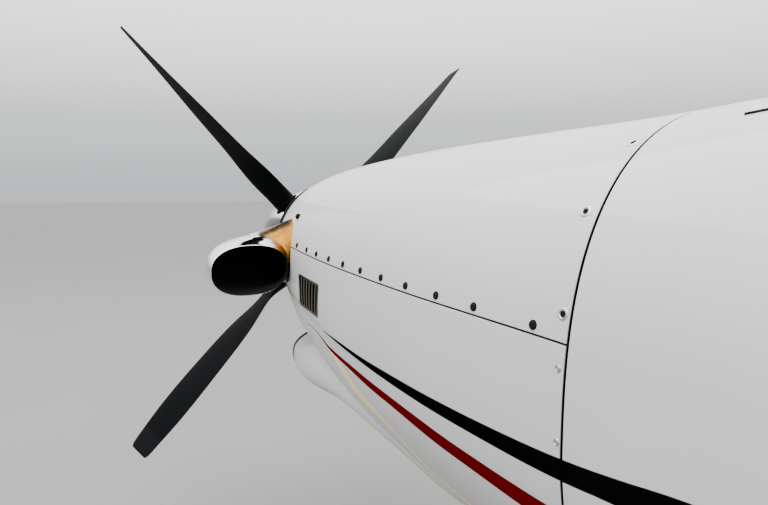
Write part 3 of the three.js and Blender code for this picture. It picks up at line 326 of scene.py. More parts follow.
def rod(a, b, radius, end=None, sides=20, chamfer=1.5):
    """A round bar from a to b whose ends are chamfered."""
    a, b = np.asarray(a, float), np.asarray(b, float)
    length = np.linalg.norm(b - a)
    end = radius if end is None else end
    chamfer = min(chamfer, radius * 0.4, end * 0.4, length * 0.3)
    profile = [(radius - chamfer, 0), (radius, chamfer), (end, length - chamfer), (end - chamfer, length)]
    return turned_profile(profile, a, b - a, sides)


def crossbar(centre, half, radius, **settings):
    """A round bar straight across the aeroplane that reaches half to each side of its centre."""
    return rod(np.subtract(centre, (half, 0, 0)), np.add(centre, (half, 0, 0)), radius, **settings)


def pipe(route, radius, sides=12, samples=40):
    """A round tube along a smooth curve through the points of a route, carried without twist."""
    route = np.asarray(route, float)
    table = np.column_stack([np.arange(len(route)), route])
    at = np.linspace(0, len(route) - 1, samples)
    line = np.stack([follow(table, column, at) for column in (1, 2, 3)], -1)
    tangent = np.gradient(line, axis=0)
    tangent /= np.linalg.norm(tangent, axis=1, keepdims=True)
    side, _ = frame_along(tangent[0])
    sides_on = []
    for t in tangent:
        side = side - t * np.dot(side, t)
        side = side / np.linalg.norm(side)
        sides_on.append(side)
    first = np.array(sides_on)
    second = np.cross(tangent, first)
    turn = full_turn(sides)[:, None]
    ring = np.cos(turn) * first[:, None] + np.sin(turn) * second[:, None]
    return Form().grid(line[:, None] + radius * ring)


def together(*forms):
    whole = Form()
    for form in forms:
        whole.join(form)
    return whole


# Shader maths
def put(tree, slot, value):
    if isinstance(value, Value):
        tree.links.new(value.socket, slot)
    else:
        slot.default_value = value


def add_node(tree, kind, values=(), output=0, stops=None, curve=None, **settings):
    """Any node: its settings first, then the values or links of its sockets."""
    node = tree.nodes.new("ShaderNode" + kind)
    for key, value in settings.items():
        setattr(node, key, value)
    if stops:
        ramp = node.color_ramp
        while len(ramp.elements) < len(stops):
            ramp.elements.new(1)
        for element, (place, color) in zip(ramp.elements, stops):
            element.position, element.color = place, (*color, 1)
    if curve:
        line = node.mapping.curves[0]
        while len(line.points) < len(curve):
            line.points.new(0.5, 0.5)
        for point, place in zip(line.points, curve):
            point.location = place
        node.mapping.update()
    for key, value in values.items() if isinstance(values, dict) else enumerate(values):
        put(tree, node.inputs[key], value)
    return Value(tree, node.outputs[output])


class Value:
    """A shader socket; an expression on values adds its Math nodes."""

    def __init__(self, tree, socket):
        self.tree, self.socket = tree, socket

    def maths(self, operation, *others):
        return add_node(self.tree, "Math", (self, *others), operation=operation)

    def __add__(self, other): return self.maths("ADD", other)
    def __sub__(self, other): return self.maths("SUBTRACT", other)
    def __mul__(self, other): return self.maths("MULTIPLY", other)
    def __truediv__(self, other): return self.maths("DIVIDE", other)
    def __pow__(self, other): return self.maths("POWER", other)
    def __radd__(self, other): return self + other
    def __rmul__(self, other): return self * other
    def __rsub__(self, other): return self * -1.0 + other
    def __abs__(self): return self.maths("ABSOLUTE")
    def above(self, other): return self.maths("GREATER_THAN", other)
    def part(self): return self.maths("FRACT")

    def between(self, low, high):
        """0 at low, 1 at high, held at 0 and 1 beyond them."""
        return add_node(self.tree, "MapRange", (self, low, high, 0.0, 1.0))


class Look:
    """One procedural material: a Principled shader and what feeds it."""

    def __init__(self, name, color, roughness, metallic=0.0, **constants):
        self.material = bpy.data.materials.new(name)
        self.material.use_nodes = True
        self.tree = self.material.node_tree
        self.shader = self.tree.nodes["Principled BSDF"]
        self.material.diffuse_color = (*color, 1)
        self.wear(Base_Color=(*color, 1), Roughness=roughness, Metallic=metallic, **constants)

    def wear(self, bump=None, **sockets):
        """Feeds the shader's sockets; a bump is its height, strength and distance."""
        if bump:
            values = dict(zip(("Height", "Strength", "Distance"), bump))
            sockets["Normal"] = self.node("Bump", values)
        for socket, value in sockets.items():
            put(self.tree, self.shader.inputs[socket.replace("_", " ")], value)
        return self.material

    def node(self, kind, *values, **settings):
        return add_node(self.tree, kind, *values, **settings)

    def where(self):
        return self.node("TexCoord", output=3)

    def place(self):
        """The object's own x, y and z in metres."""
        split = self.node("SeparateXYZ", [self.where()])
        return [Value(self.tree, socket) for socket in split.socket.node.outputs]

    def noise(self, scale, detail=3.0, stretch=None):
        where = self.where()
        if stretch:
            where = self.node("Mapping", {"Vector": where, "Scale": stretch})
        return self.node("TexNoise", {"Vector": where, "Scale": scale, "Detail": detail})

    def mix(self, share, first, second):
        """A colour that goes from the first to the second as share goes from 0 to 1."""
        full = [value if isinstance(value, Value) else (*value, 1) for value in (first, second)]
        return self.node("Mix", {0: share, 6: full[0], 7: full[1]}, output=2, data_type="RGBA")


def shaded(color, by):
    return tuple(c * by for c in color)


def station_of(y):
    return y * 1000.0 + MID_LENGTH


# Materials
PAINT_WHITE = (0.42, 0.43, 0.42)
STRIPE_SPAN, STRIPE_LOW, STRIPE_HIGH = 8600.0, 800.0, 1700.0
# Each stripe's upper and lower edge: station and height
BLACK_STRIPE = ([(788, 1121), (926, 1117), (1053, 1111.5), (1208, 1109), (1404, 1106), (1526, 1106),
                 (1629, 1108), (1717, 1113), (1829, 1126), (1921, 1140), (2400, 1180), (3200, 1224),
                 (4600, 1298), (6000, 1398), (7600, 1522), (8500, 1600)], [(788, 1119.5), (923, 1108),
                                                                           (1049, 1097.5), (1156, 1090),
                                                                           (1249, 1085), (1401, 1078),
                                                                           (1524, 1075), (1627, 1074),
                                                                           (1717, 1077), (1795, 1084),
                                                                           (2400, 1126), (3200, 1166),
                                                                           (4600, 1240), (6000, 1348),
                                                                           (7600, 1486), (8500, 1575)], )
RED_STRIPE = ([(600, 1103), (687, 1104), (760, 1094), (831, 1081), (976, 1070), (1092, 1059.5),
               (1193, 1052), (1319, 1041.5), (1391, 1034.5), (1486, 1028), (1595, 1022.5), (1667, 1021),
               (1900, 1028), (2400, 1056), (3200, 1092), (4600, 1172), (6000, 1296), (7600, 1452),
               (8500, 1548)], [(600, 1101), (684, 1101), (760, 1088), (823, 1069), (966, 1053),
                               (1081, 1037), (1182, 1028), (1308, 1012.5), (1380, 1004), (1477, 996.5),
                               (1561, 989.5), (1612, 986), (1900, 984), (2400, 1008), (3200, 1042),
                               (4600, 1124), (6000, 1256), (7600, 1426), (8500, 1530)], )
CREAM_STRIPE = ([(800, 1100), (831, 1083), (862, 1065), (896, 1051), (943, 1021), (989, 998), (1040, 983),
                 (1087, 968), (1160, 937), (1264, 897), (1362, 879), (1500, 872), (1900, 897), (2400, 927),
                 (3200, 971), (4600, 1063), (6000, 1209), (7600, 1397), (8500, 1505)],
                [(800, 1086), (823, 1069), (847, 1046), (874, 1026), (912, 994), (958, 970), (1016, 959),
                 (1072, 950), (1160, 915), (1247, 882), (1346, 864), (1500, 860), (1900, 885), (2400, 916),
                 (3200, 961), (4600, 1053), (6000, 1199), (7600, 1387), (8500, 1495)], )
STRIPES = ((CREAM_STRIPE, (0.74, 0.56, 0.34)), (BLACK_STRIPE, (0.001, 0.0012, 0.0012)),
           (RED_STRIPE, (0.085, 0.001, 0.0016)))
RIVET_PITCH = 26.0
# The line where the upper cowl meets the lower one
PARTING_AT_PROPELLER, PARTING_SLOPE = 1332.0, -0.0264


def stripe_edge(look, st, edge):
    """The height of a stripe's edge at a station, as a smooth curve through its points."""
    places = [(a / STRIPE_SPAN, (b - STRIPE_LOW) / (STRIPE_HIGH - STRIPE_LOW)) for a, b in edge]
    height = look.node("FloatCurve", {"Value": st / STRIPE_SPAN}, curve=places)
    return height * (STRIPE_HIGH - STRIPE_LOW) + STRIPE_LOW


def glossy_paint(name, striped=False, seams=(), ribs=()):
    """White enamel: faint orange peel, darker brownish patches low down, stripes, seams and rivets where
    asked.
    """
    look = Look(name, PAINT_WHITE, 0.2, Coat_Roughness=0.03, Coat_IOR=1.5, Specular_IOR_Level=0.0)
    x, y, z = look.place()
    st, height = station_of(y), z * 1000.0
    cloud = look.noise(2.2, 4.0)
    color = look.mix(cloud.between(0.35, 0.75), PAINT_WHITE, (0.39, 0.40, 0.39))
    # Darker brownish patches in a noise pattern, below about 900 mm height.
    low_dark_patches = (1 - height.between(560, 900)) * look.noise(9.0, 6.0, (1, 0.25, 1)).between(0.45, 0.8)
    color = look.mix(low_dark_patches * 0.35, color, (0.34, 0.32, 0.28))
    gloss = look.noise(5.0, 3.0) * 0.1 + 0.42
    if striped:
        for (upper, lower), paint in STRIPES:
            high, low = stripe_edge(look, st, upper), stripe_edge(look, st, lower)
            inside = (high - height).between(-0.5, 0.5) * (height - low).between(-0.5, 0.5)
            inside = inside * st.above(upper[0][0])
            color = look.mix(inside, color, paint)
            gloss = gloss * (1 - inside)
        join = 1 - abs(height - st * PARTING_SLOPE - PARTING_AT_PROPELLER).between(1.4, 2.2)
        gap = join * (1 - st.above(FIREWALL)) + (1 - abs(st - FIREWALL + 2.0).between(2.6, 3.4))
        gap = gap.between(0.0, 1.0)
        color = look.mix(gap, color, (0.003, 0.003, 0.003))
        gloss = gloss * (1 - gap)
    line = 0.0
    for seam in seams:
        line = (1 - abs(st - seam).between(0.6, 1.6)) + line
    across = z if name.startswith("fin") else abs(x)
    for rib in ribs:
        off = abs(across * 1000.0 - rib)
        rivet = (off - 16.0) ** 2.0 + ((st / RIVET_PITCH).part() * RIVET_PITCH - RIVET_PITCH / 2) ** 2.0
        line = (1 - off.between(0.5, 1.4)) + (1 - rivet.between(3.0, 9.0)) * 0.5 + line
    if seams or ribs:
        color = look.mix(line * 0.8, color, (0.12, 0.12, 0.12))
    peel = look.noise(260.0, 2.0) * 0.05 + look.noise(1.6, 2.0) * 0.9
    return look.wear(Base_Color=color, Coat_Weight=gloss, Roughness=look.noise(40.0, 3.0) * 0.08 + 0.14,
                     bump=(peel - line, 0.12, 0.0016))


def rise_and_radius(look):
    """Height above the propeller's shaft, and distance from it across the aeroplane, in millimetres."""
    x, _, z = look.place()
    rise = z * 1000.0 - HUB_HEIGHT
    return rise, ((x * 1000.0) ** 2.0 + rise**2.0) ** 0.5


def polished_metal():
    """Chrome with faint waves and a few water spots; its lower part is painted near black, a painted
    reflection of the ground.
    """
    look = Look("polished_metal", (0.86, 0.86, 0.85), 0.04, 1.0)
    rise, radius = rise_and_radius(look)
    # Painted reflection: points lower than about 27 degrees above the shaft are painted near black, as if the
    # chrome mirrored the ground.
    painted_ground_reflection = 1 - (rise / (radius + 1.0) + look.noise(5.0, 3.0) * 0.14).between(0.46, 0.54)
    spots = look.noise(60.0, 2.0).between(0.62, 0.72)
    bright = look.mix(look.noise(3.0), (0.88, 0.88, 0.87), (0.80, 0.80, 0.79))
    return look.wear(Base_Color=look.mix(painted_ground_reflection, bright, (0.035, 0.036, 0.03)),
                     Roughness=spots * 0.10 + look.noise(8.0, 4.0) * 0.04 + 0.02,
                     bump=(look.noise(3.5, 1.0), 0.08, 0.001))


def heated_metal():
    """Chromed stack: bright at the outlet, straw and gold towards the neck, dark brown below, which is partly
    burnt metal and partly a painted reflection of the ground.
    """
    look = Look("heated_metal", (0.8, 0.7, 0.5), 0.06, 1.0)
    x, _, z = look.place()
    out = abs(x) * 1000.0
    smoke = look.noise(30.0, 5.0)
    neck = 1 - (out + smoke * 30.0).between(402, 436)
    # Dark brown low on the stack: partly heat burn, partly a painted reflection of the ground.
    low = 1 - (z * 1000.0 + smoke * 40.0).between(1270, 1325)
    chrome = look.mix(look.noise(6.0), (0.86, 0.86, 0.86), (0.74, 0.74, 0.75))
    straw = (out + smoke * 22.0).between(396, 424)
    gold = look.mix(smoke.between(0.3, 0.7), (0.15, 0.056, 0.003), (0.26, 0.115, 0.012))
    gold = look.mix(straw, gold, (0.52, 0.37, 0.17))
    burnt_and_painted_reflection = look.mix(low, gold, (0.035, 0.008, 0.003))
    return look.wear(Base_Color=look.mix(neck, chrome, burnt_and_painted_reflection), Roughness=neck * 0.2 + smoke * 0.08 + 0.02,
                     bump=(smoke, 0.05, 0.001))


# Near black: soot in the stack's bore, black rubber and dark studs, and painted shade on the louvre slats,
# the louvre duct and the backing behind the cowl seams.
def soot_and_shade():
    look = Look("soot_and_shade", (0.004, 0.004, 0.004), 0.9, Specular_IOR_Level=0.08)
    color = look.mix(look.noise(50.0, 5.0), (0.002, 0.002, 0.002), (0.012, 0.011, 0.010))
    return look.wear(Base_Color=color, bump=(look.noise(300.0, 4.0), 0.4, 0.001))


def blade_black():
    """Satin black, a shade greyer at the tips, with fine scuffs."""
    look = Look("blade_black", (0.003, 0.0035, 0.005), 0.5, Specular_IOR_Level=0.01)
    _, radius = rise_and_radius(look)
    scuff = look.noise(120.0, 6.0, (1, 1, 0.3)).between(0.60, 0.78)
    color = look.mix(scuff * 0.2, (0.002, 0.0024, 0.0028), (0.02, 0.022, 0.026))
    tip = (radius + look.noise(40.0) * 3.0).between(966, 972)
    return look.wear(Base_Color=look.mix(tip, color, (0.0035, 0.0038, 0.0042)),
                     Roughness=scuff * 0.2 + look.noise(14.0, 4.0) * 0.12 + 0.42,
                     bump=(look.noise(700.0, 3.0), 0.1, 0.0006))


def rubber(name, color=(0.012, 0.012, 0.013), roughness=0.62, grain=420.0):
    look = Look(name, color, roughness)
    dust = look.noise(16.0, 6.0).between(0.5, 0.85)
    return look.wear(Base_Color=look.mix(dust * 0.3, color, tuple(c + 0.05 for c in color)),
                     Roughness=dust * 0.15 + roughness, bump=(look.noise(grain, 3.0), 0.25, 0.0008))


def tyre_tread():
    """Grainy rubber with patches of dust."""
    look = Look("tyre_tread", (0.014, 0.014, 0.014), 0.75)
    dust = look.noise(24.0, 7.0).between(0.42, 0.8)
    return look.wear(Base_Color=look.mix(dust, (0.012, 0.012, 0.013), (0.055, 0.052, 0.047)),
                     Roughness=dust * 0.2 + 0.6, bump=(look.noise(500.0, 4.0), 0.35, 0.001))


def bare_metal(name, color, roughness=0.35, streak=(1, 1, 1)):
    """Brushed or cast metal: stretched noise in colour, roughness and bump."""
    look = Look(name, color, roughness, 1.0)
    grain = look.noise(180.0, 5.0, streak)
    return look.wear(Base_Color=look.mix(grain, shaded(color, 0.82), color),
                     Roughness=grain * 0.15 + roughness - 0.05, bump=(grain, 0.15, 0.0006))


def stained_metal():
    """Dull grey-brown steel that turns rust orange low down."""
    look = Look("heat_stained_steel", (0.10, 0.085, 0.065), 0.6, 0.4)
    _, _, z = look.place()
    rust = 1 - (z * 1000.0 + look.noise(40.0, 5.0) * 24.0).between(1158, 1186)
    return look.wear(Base_Color=look.mix(rust, (0.10, 0.085, 0.065), (0.26, 0.09, 0.025)),
                     bump=(look.noise(200.0, 4.0), 0.2, 0.0006))


def satin_paint(name, color, roughness=0.38):
    """Enamel on the legs and wheels, with darker, glossier patches of oil."""
    look = Look(name, color, roughness, Coat_Weight=0.3, Coat_Roughness=0.2)
    oil = look.noise(14.0, 6.0).between(0.55, 0.85)
    return look.wear(Base_Color=look.mix(oil * 0.5, color, shaded(color, 0.45)),
                     Roughness=roughness - oil * 0.12, bump=(look.noise(320.0, 3.0), 0.12, 0.0008))


def tinted_glass(name, color=(0.10, 0.12, 0.125), alpha=0.4):
    """Acrylic: a clear coat of reflections over a faint smoky tint."""
    look = Look(name, color, 0.03, Coat_Weight=1.0, Coat_Roughness=0.02, IOR=1.49)
    look.material.surface_render_method = "BLENDED"
    return look.wear(Alpha=look.noise(3.0) * 0.04 + alpha,
                     Roughness=look.noise(70.0, 4.0).between(0.5, 1.0) * 0.06 + 0.02)


def leather():
    """Tan hide: pebble grain of small cells, and softer clouds of colour."""
    look = Look("leather", (0.50, 0.39, 0.27), 0.5, Sheen_Weight=0.15, Sheen_Roughness=0.5)
    cells = look.node("TexVoronoi", {"Vector": look.where(), "Scale": 420.0}, feature="SMOOTH_F1")
    return look.wear(Base_Color=look.mix(look.noise(7.0, 5.0), (0.43, 0.33, 0.22), (0.58, 0.47, 0.34)),
                     Roughness=cells * 0.25 + 0.38, bump=(cells * 1.0 + look.noise(60.0, 5.0) * 0.5, 0.35,
                                                          0.0012))


def carpet(name, color):
    """Short pile: fine speckle in colour and height."""
    look = Look(name, color, 0.95, Sheen_Weight=0.4, Sheen_Roughness=0.6)
    pile = look.noise(900.0, 4.0)
    return look.wear(Base_Color=look.mix(pile, shaded(color, 0.6), shaded(color, 1.3)),
                     bump=(pile, 0.8, 0.002))


def moulded(name, color, roughness=0.55):
    """Moulded plastic with a fine pebble and handling marks."""
    look = Look(name, color, roughness)
    marks = look.noise(20.0, 6.0)
    return look.wear(Base_Color=look.mix(marks, shaded(color, 0.85), shaded(color, 1.1)),
                     Roughness=marks * 0.12 + roughness - 0.05, bump=(look.noise(600.0, 2.0), 0.2, 0.0006))


def lens(name, color, glow=0.0):
    look = Look(name, color, 0.05, Coat_Weight=1.0, Coat_Roughness=0.02, Emission_Strength=glow)
    ribs = look.node("TexWave", {"Vector": look.where(), "Scale": 60.0})
    return look.wear(Base_Color=look.mix(ribs * 0.3, color, shaded(color, 0.6)), Emission_Color=(*color, 1),
                     bump=(ribs, 0.15, 0.0006))


PAINT = glossy_paint("airframe_white")
STRIPED = glossy_paint("striped_white", striped=True)
STRIPED_AFT = glossy_paint("striped_white_seamed", striped=True, seams=(2235, 4645, 5601, 6600))
WING_PAINT = glossy_paint("wing_white", ribs=(1420, 2050, 2750, 3510, 4400, 5300, 6245))
FIN_PAINT = glossy_paint("fin_white", ribs=(1900, 2400, 2900, 3345))
CHROME = polished_metal()
STACK = heated_metal()
SOOT_AND_SHADE = soot_and_shade()
BLADE = blade_black()
SEAL = rubber("window_seal")
BOOT = rubber("deice_boot", (0.010, 0.010, 0.011), 0.5, 260.0)
TREAD = tyre_tread()
STEEL = bare_metal("fastener_steel", (0.55, 0.55, 0.53), 0.28)
DARK_STEEL = bare_metal("dark_steel", (0.09, 0.085, 0.08), 0.45)
CAST = bare_metal("cast_alloy", (0.30, 0.31, 0.32), 0.5)
PISTON = bare_metal("ground_steel", (0.78, 0.78, 0.77), 0.12, (1, 1, 12))
RUSTY = stained_metal()
LEG = satin_paint("leg_enamel", (0.62, 0.63, 0.63))
WHEEL = satin_paint("wheel_enamel", (0.70, 0.71, 0.70))
GLASS = tinted_glass("window_acrylic")
LEATHER = leather()
LINING = moulded("cabin_lining", (0.50, 0.46, 0.40), 0.7)
PANEL = moulded("panel_grey", (0.055, 0.057, 0.06), 0.6)
PLASTIC = moulded("black_plastic", (0.012, 0.012, 0.013), 0.45)
CARPET = carpet("carpet_grey", (0.10, 0.10, 0.11))
LEATHER_DARK = moulded("stitched_trim", (0.07, 0.065, 0.06), 0.6)
SCREEN = lens("screen_glass", (0.015, 0.03, 0.045), 0.3)
RED_LENS = lens("red_lens", (0.75, 0.02, 0.02), 0.2)
GREEN_LENS = lens("green_lens", (0.02, 0.55, 0.10), 0.2)
CLEAR_LENS = lens("clear_lens", (0.85, 0.86, 0.88), 0.1)
BRASS = bare_metal("filler_brass", (0.70, 0.55, 0.28), 0.3)


# Cowl
SEAM = 3.0
COWL_WALL = 12.0
COWL_END = FIREWALL - 4.6
SHELL_START = FIREWALL + 0.6
LOUVRE = [[560, 1250], [765, 1246], [750, 1150], [548, 1152]]
NOSE_BAY = (-105.0, 105.0, 1390, 2190, 0, 800)


def parting(st):
    return PARTING_AT_PROPELLER + PARTING_SLOPE * st


def edge_rows(start, end, step, radius):
    """Stations with a quarter round at each end, and how far in from the skin each row lies."""
    turn = np.linspace(0, math.pi / 2, 4)
    middle = np.linspace(start + radius, end - radius, max(int((end - start) / step), 3))
    stations = np.r_[start + radius * (1 - np.cos(turn[:-1])), middle,
                     end - radius * (1 - np.cos(turn[:-1][::-1]))]
    inset = np.r_[radius * (1 - np.sin(turn[:-1])), np.zeros(len(middle)),
                  radius * (1 - np.sin(turn[:-1][::-1]))]
    return stations[:, None], inset[:, None]


def cowl_half(upper, arc_points=96, radius=2.0):
    """An arc of hull sections, thick by the wall, with rounded edges at the seam and at both ends."""
    st, end_inset = edge_rows(COWL_FRONT, COWL_END, 16, radius)
    sign = 1 if upper else -1
    turn = np.linspace(0, math.pi / 2, 4)
    columns = []
    for layer in (0.0, COWL_WALL):
        edge_inset = radius * (1 - np.cos(turn)) if layer == 0 else np.full(4, layer)
        lift = radius * (1 - np.sin(turn)) if layer == 0 else np.zeros(4)
        inset = np.maximum(end_inset, edge_inset[None]) if layer == 0 else layer - end_inset + 0 * edge_inset
        edge = hull_angle(st, parting(st) + sign * (SEAM / 2 + lift), inset)
        first = edge[:, :1]
        share = np.linspace(0, 1, arc_points)[None]
        arc = first + share * (math.pi - 2 * first) if upper else first - share * (math.pi + 2 * first)
        arc_inset = np.broadcast_to(end_inset if layer == 0 else layer - end_inset, arc.shape)
        near, far = hull_point(st, edge, inset), hull_point(st, math.pi - edge, inset)
        side = [near[:, ::-1], hull_point(st, arc[:, 1:-1], arc_inset[:, 1:-1]), far]
        if layer == 0:
            columns += side
        else:
            columns += [far[:, :1], side[1][:, ::-1], near[:, :1]]
    return Form().grid(np.concatenate(columns, axis=1))


# Exhaust stack sections: degrees turned, half length, half height, height of the middle, how far inboard
STACK_PIVOT_X, STACK_PIVOT_ST, STACK_REACH = 345.0, 440.0, 10.0
STACK_WALL = 2.6
STACK_AROUND, STACK_OUTER_ROWS = 64, 47
STACK_ROWS = np.array([
    [-1.0, 0, 116, 110, 1298, 70],
    [0.0, 0, 124, 100, 1290, 30],
    [1.0, 22, 127, 88, 1272, 0],
    [2.0, 45, 129, 85, 1268, 0],
    [3.0, 68, 130, 83, 1263, 0],
    [4.0, 90, 130, 80, 1256, 0],
])


def stack_rings(at, grow):
    """Oval sections turned about the cowl's side: the middle follows a quarter circle, outwards and then aft.

    Towards the root the upper half leans aft and up, by a share that fades to nothing one row out.
    """
    turn, length, height, z, inboard = [follow(STACK_ROWS, column, at)[:, None] for column in range(1, 6)]
    turn = np.radians(np.clip(turn, 0, 90))
    grow = np.broadcast_to(np.asarray(grow, float), np.shape(at))[:, None]
    a = full_turn(STACK_AROUND)[None]
    out = STACK_REACH + length + (length + grow) * signed_power(np.cos(a), 0.85)
    x = STACK_PIVOT_X - inboard + out * np.sin(turn)
    st = STACK_PIVOT_ST - out * np.cos(turn)
    rise = (height + grow) * signed_power(np.sin(a), 0.85)
    lean = np.clip(1 - np.asarray(at)[:, None], 0, 1) * np.clip(rise / 100, 0, 1.2)
    return np.stack([x, st + 26 * lean, z + rise + 20 * lean * np.cos(a).clip(-1, 0) ** 2], -1)


def stack_form():
    """Outer wall, a rolled lip whose rows swing from outside to inside, and the bore, blind inboard."""
    at = np.linspace(-1, 4, 44)
    lip = np.linspace(0, math.pi, 9)[1:-1]
    half = STACK_WALL / 2
    rows = [stack_rings(at, 0.0), stack_rings(np.full(7, 4.0), half * (np.cos(lip) - 1)),
            stack_rings(at[:3:-1], -STACK_WALL)]
    rows[1][:, :, 1] += (half * np.sin(lip))[:, None]
    return Form().grid(np.concatenate(rows))


# Chin scoop: station, half width, top, bottom, power that rounds the section
SCOOP = np.array([
    [262, 246, 1005, 832, 0.8],
    [300, 262, 1006, 806, 0.8],
    [420, 286, 1006, 793, 0.82],
    [650, 303, 982, 802, 0.88],
    [950, 325, 950, 762, 0.95],
    [1200, 320, 911, 703, 0.95],
    [1330, 296, 865, 704, 0.95],
])
SCOOP_LIP = 26.0
SCOOP_DEPTH = 260.0


def scoop_rings(at, inset):
    """Sections whose half width goes with cos^power and half height with sin^power."""
    half, top, bottom, power = [follow(SCOOP, column, at)[:, None] for column in (1, 2, 3, 4)]
    inset = np.broadcast_to(np.asarray(inset, float), np.shape(at))[:, None]
    a = full_turn(96)[None]
    x = (half - inset) * signed_power(np.cos(a), power)
    z = (top + bottom) / 2 + ((top - bottom) / 2 - inset) * signed_power(np.sin(a), power)
    return np.stack(np.broadcast_arrays(x, np.asarray(at, float)[:, None], z), -1)


def scoop_form():
    """The skin from its tail to a rounded lip, then the throat, which narrows inwards and is closed."""
    outer = np.linspace(SCOOP[-1, 0], 275, 60)
    turn = np.linspace(0, math.pi, 9)
    lip = scoop_rings(np.full(9, 275.0), SCOOP_LIP / 2 * (1 - np.cos(turn)) - 2)
    lip[:, :, 1] -= 13 * np.sin(turn)[:, None]
    throat = scoop_rings(np.linspace(285, 275 + SCOOP_DEPTH, 14), np.linspace(SCOOP_LIP, SCOOP_LIP + 44, 14))
    return Form().grid(np.concatenate([scoop_rings(outer, 0.0), lip, throat]))


PARTING_FASTENERS = [511, 626, 724, 829, 932, 1040, 1149, 1260, 1374, 1491, 1642]
SEAM_SCREWS = [(1701, 1331), (1704, 1249), (1708, 1136), (1705, 1010), (1690, 1484), (1694, 1593)]


def on_skin(side, st, z):
    """A point on the hull's side and the way its surface faces there."""
    point = np.array([[float(skin_x(st, z)), st, z]])
    return point[0] * (side, 1, 1), hull_normal(point)[0] * (side, 1, 1)


def fastener_height(st):
    return parting(st) + 15


def fastener_holes():
    holes = Form()
    for side in SIDES.values():
        for st in PARTING_FASTENERS:
            spot, normal = on_skin(side, st, fastener_height(st))
            holes.join(turned_profile([(7.8, 3), (7.8, -7)], spot, normal, 24))
    return holes


def fasteners():
    """Dark quarter-turn studs in their holes and dished screws in cup washers along the seam."""
    dark, bright = Form(), Form()
    for side in SIDES.values():
        for st in PARTING_FASTENERS:
            spot, normal = on_skin(side, st, fastener_height(st))
            dark.join(turned_profile([(0, -7), (8.3, -7), (8.3, 1), (7.4, 2.6), (5.4, 3.6), (3.2, 3.8),
                                      (2.6, 3), (0, 3)], spot, normal, 24))
        spot, normal = on_skin(side, 430, 1419)
        dark.join(turned_profile([(0, -4), (10, -4), (10, 5), (8, 9), (4, 11), (0, 11)], spot, normal, 28))
        for st, z in SEAM_SCREWS:
            spot, normal = on_skin(side, st, z)
            big = z > 1300
            r = 10.0 if big else 6.0
            washer = [(0, -2), (r, -2), (r, 0.5), (r * 0.9, 1.3), (r * 0.72, 1.5), (r * 0.6, 0.4), (0, 0.4)]
            head = [(0, 0.2), (r * 0.52, 0.2), (r * 0.5, 1.2), (r * 0.3, 1.7), (r * 0.22, 1.7),
                    (r * 0.2, 0.7), (0, 0.7)]
            bright.join(turned_profile(washer, spot, normal, 24))
            (dark if big else bright).join(turned_profile(head, spot, normal, 24))
    piece("cowl_studs", dark, "airframe", "exhaust_steel", SOOT_AND_SHADE)
    piece("seam_screws", bright, "airframe", "exhaust_steel", STEEL)


def louvre_grille():
    """A framed opening with raked slats that follow the hull's left side: each form's name, slot and look."""
    slats, edges = Form(), Form()
    outline = rounded(LOUVRE, 10, 4)
    middle = outline.mean(0)

    def skin_ring(scale, out):
        flat = middle + (outline - middle) * scale
        return np.column_stack([skin_x(flat[:, 0], flat[:, 1]) + out, flat])

    ring = ((1.03, -1), (1.03, 1.2), (0.98, 1.6), (0.91, 0.6), (0.91, -16), (1.03, -16))
    frame_form = Form().grid(np.stack([skin_ring(*place) for place in ring]), wrap_rows=True)
    duct = Form().grid(np.stack([skin_ring(1.02, -40), skin_ring(1.02, -36)]))
    for i in range(6):
        t = (i + 1) / 7
        top = np.array(LOUVRE[0]) * (1 - t) + np.array(LOUVRE[1]) * t + (0, -2)
        low = np.array(LOUVRE[3]) * (1 - t) + np.array(LOUVRE[2]) * t + (0, 2)
        line = top + np.linspace(0, 1, 9)[:, None] * (low - top)
        blade = [[0, -3], [-3.2, -3], [-9, -15], [-5.5, -15]]
        hem = [[0.8, -0.6], [-2.6, -0.6], [-2.6, -2.6], [0.8, -2.6]]
        for across, form in ((blade, slats), (hem, edges)):
            ring = [np.column_stack([skin_x(line[:, 0], line[:, 1]) + dx, line[:, 0] + ds, line[:, 1]])
                    for ds, dx in across]
            form.grid(np.stack(ring, 1))
    # The slat faces and the duct behind them are near black: partly soot, partly painted shade of the hollows
    # between the slats.
    return [("frame", frame_form, "exhaust_steel", DARK_STEEL), ("slats", slats, "exhaust_steel", SOOT_AND_SHADE),
            ("hems", edges, "exhaust_steel", RUSTY), ("duct", duct, "engine_metal", SOOT_AND_SHADE)]


def both(form):
    """The same form on the left and, mirrored, on the right."""
    return together(form, form.mirrored())


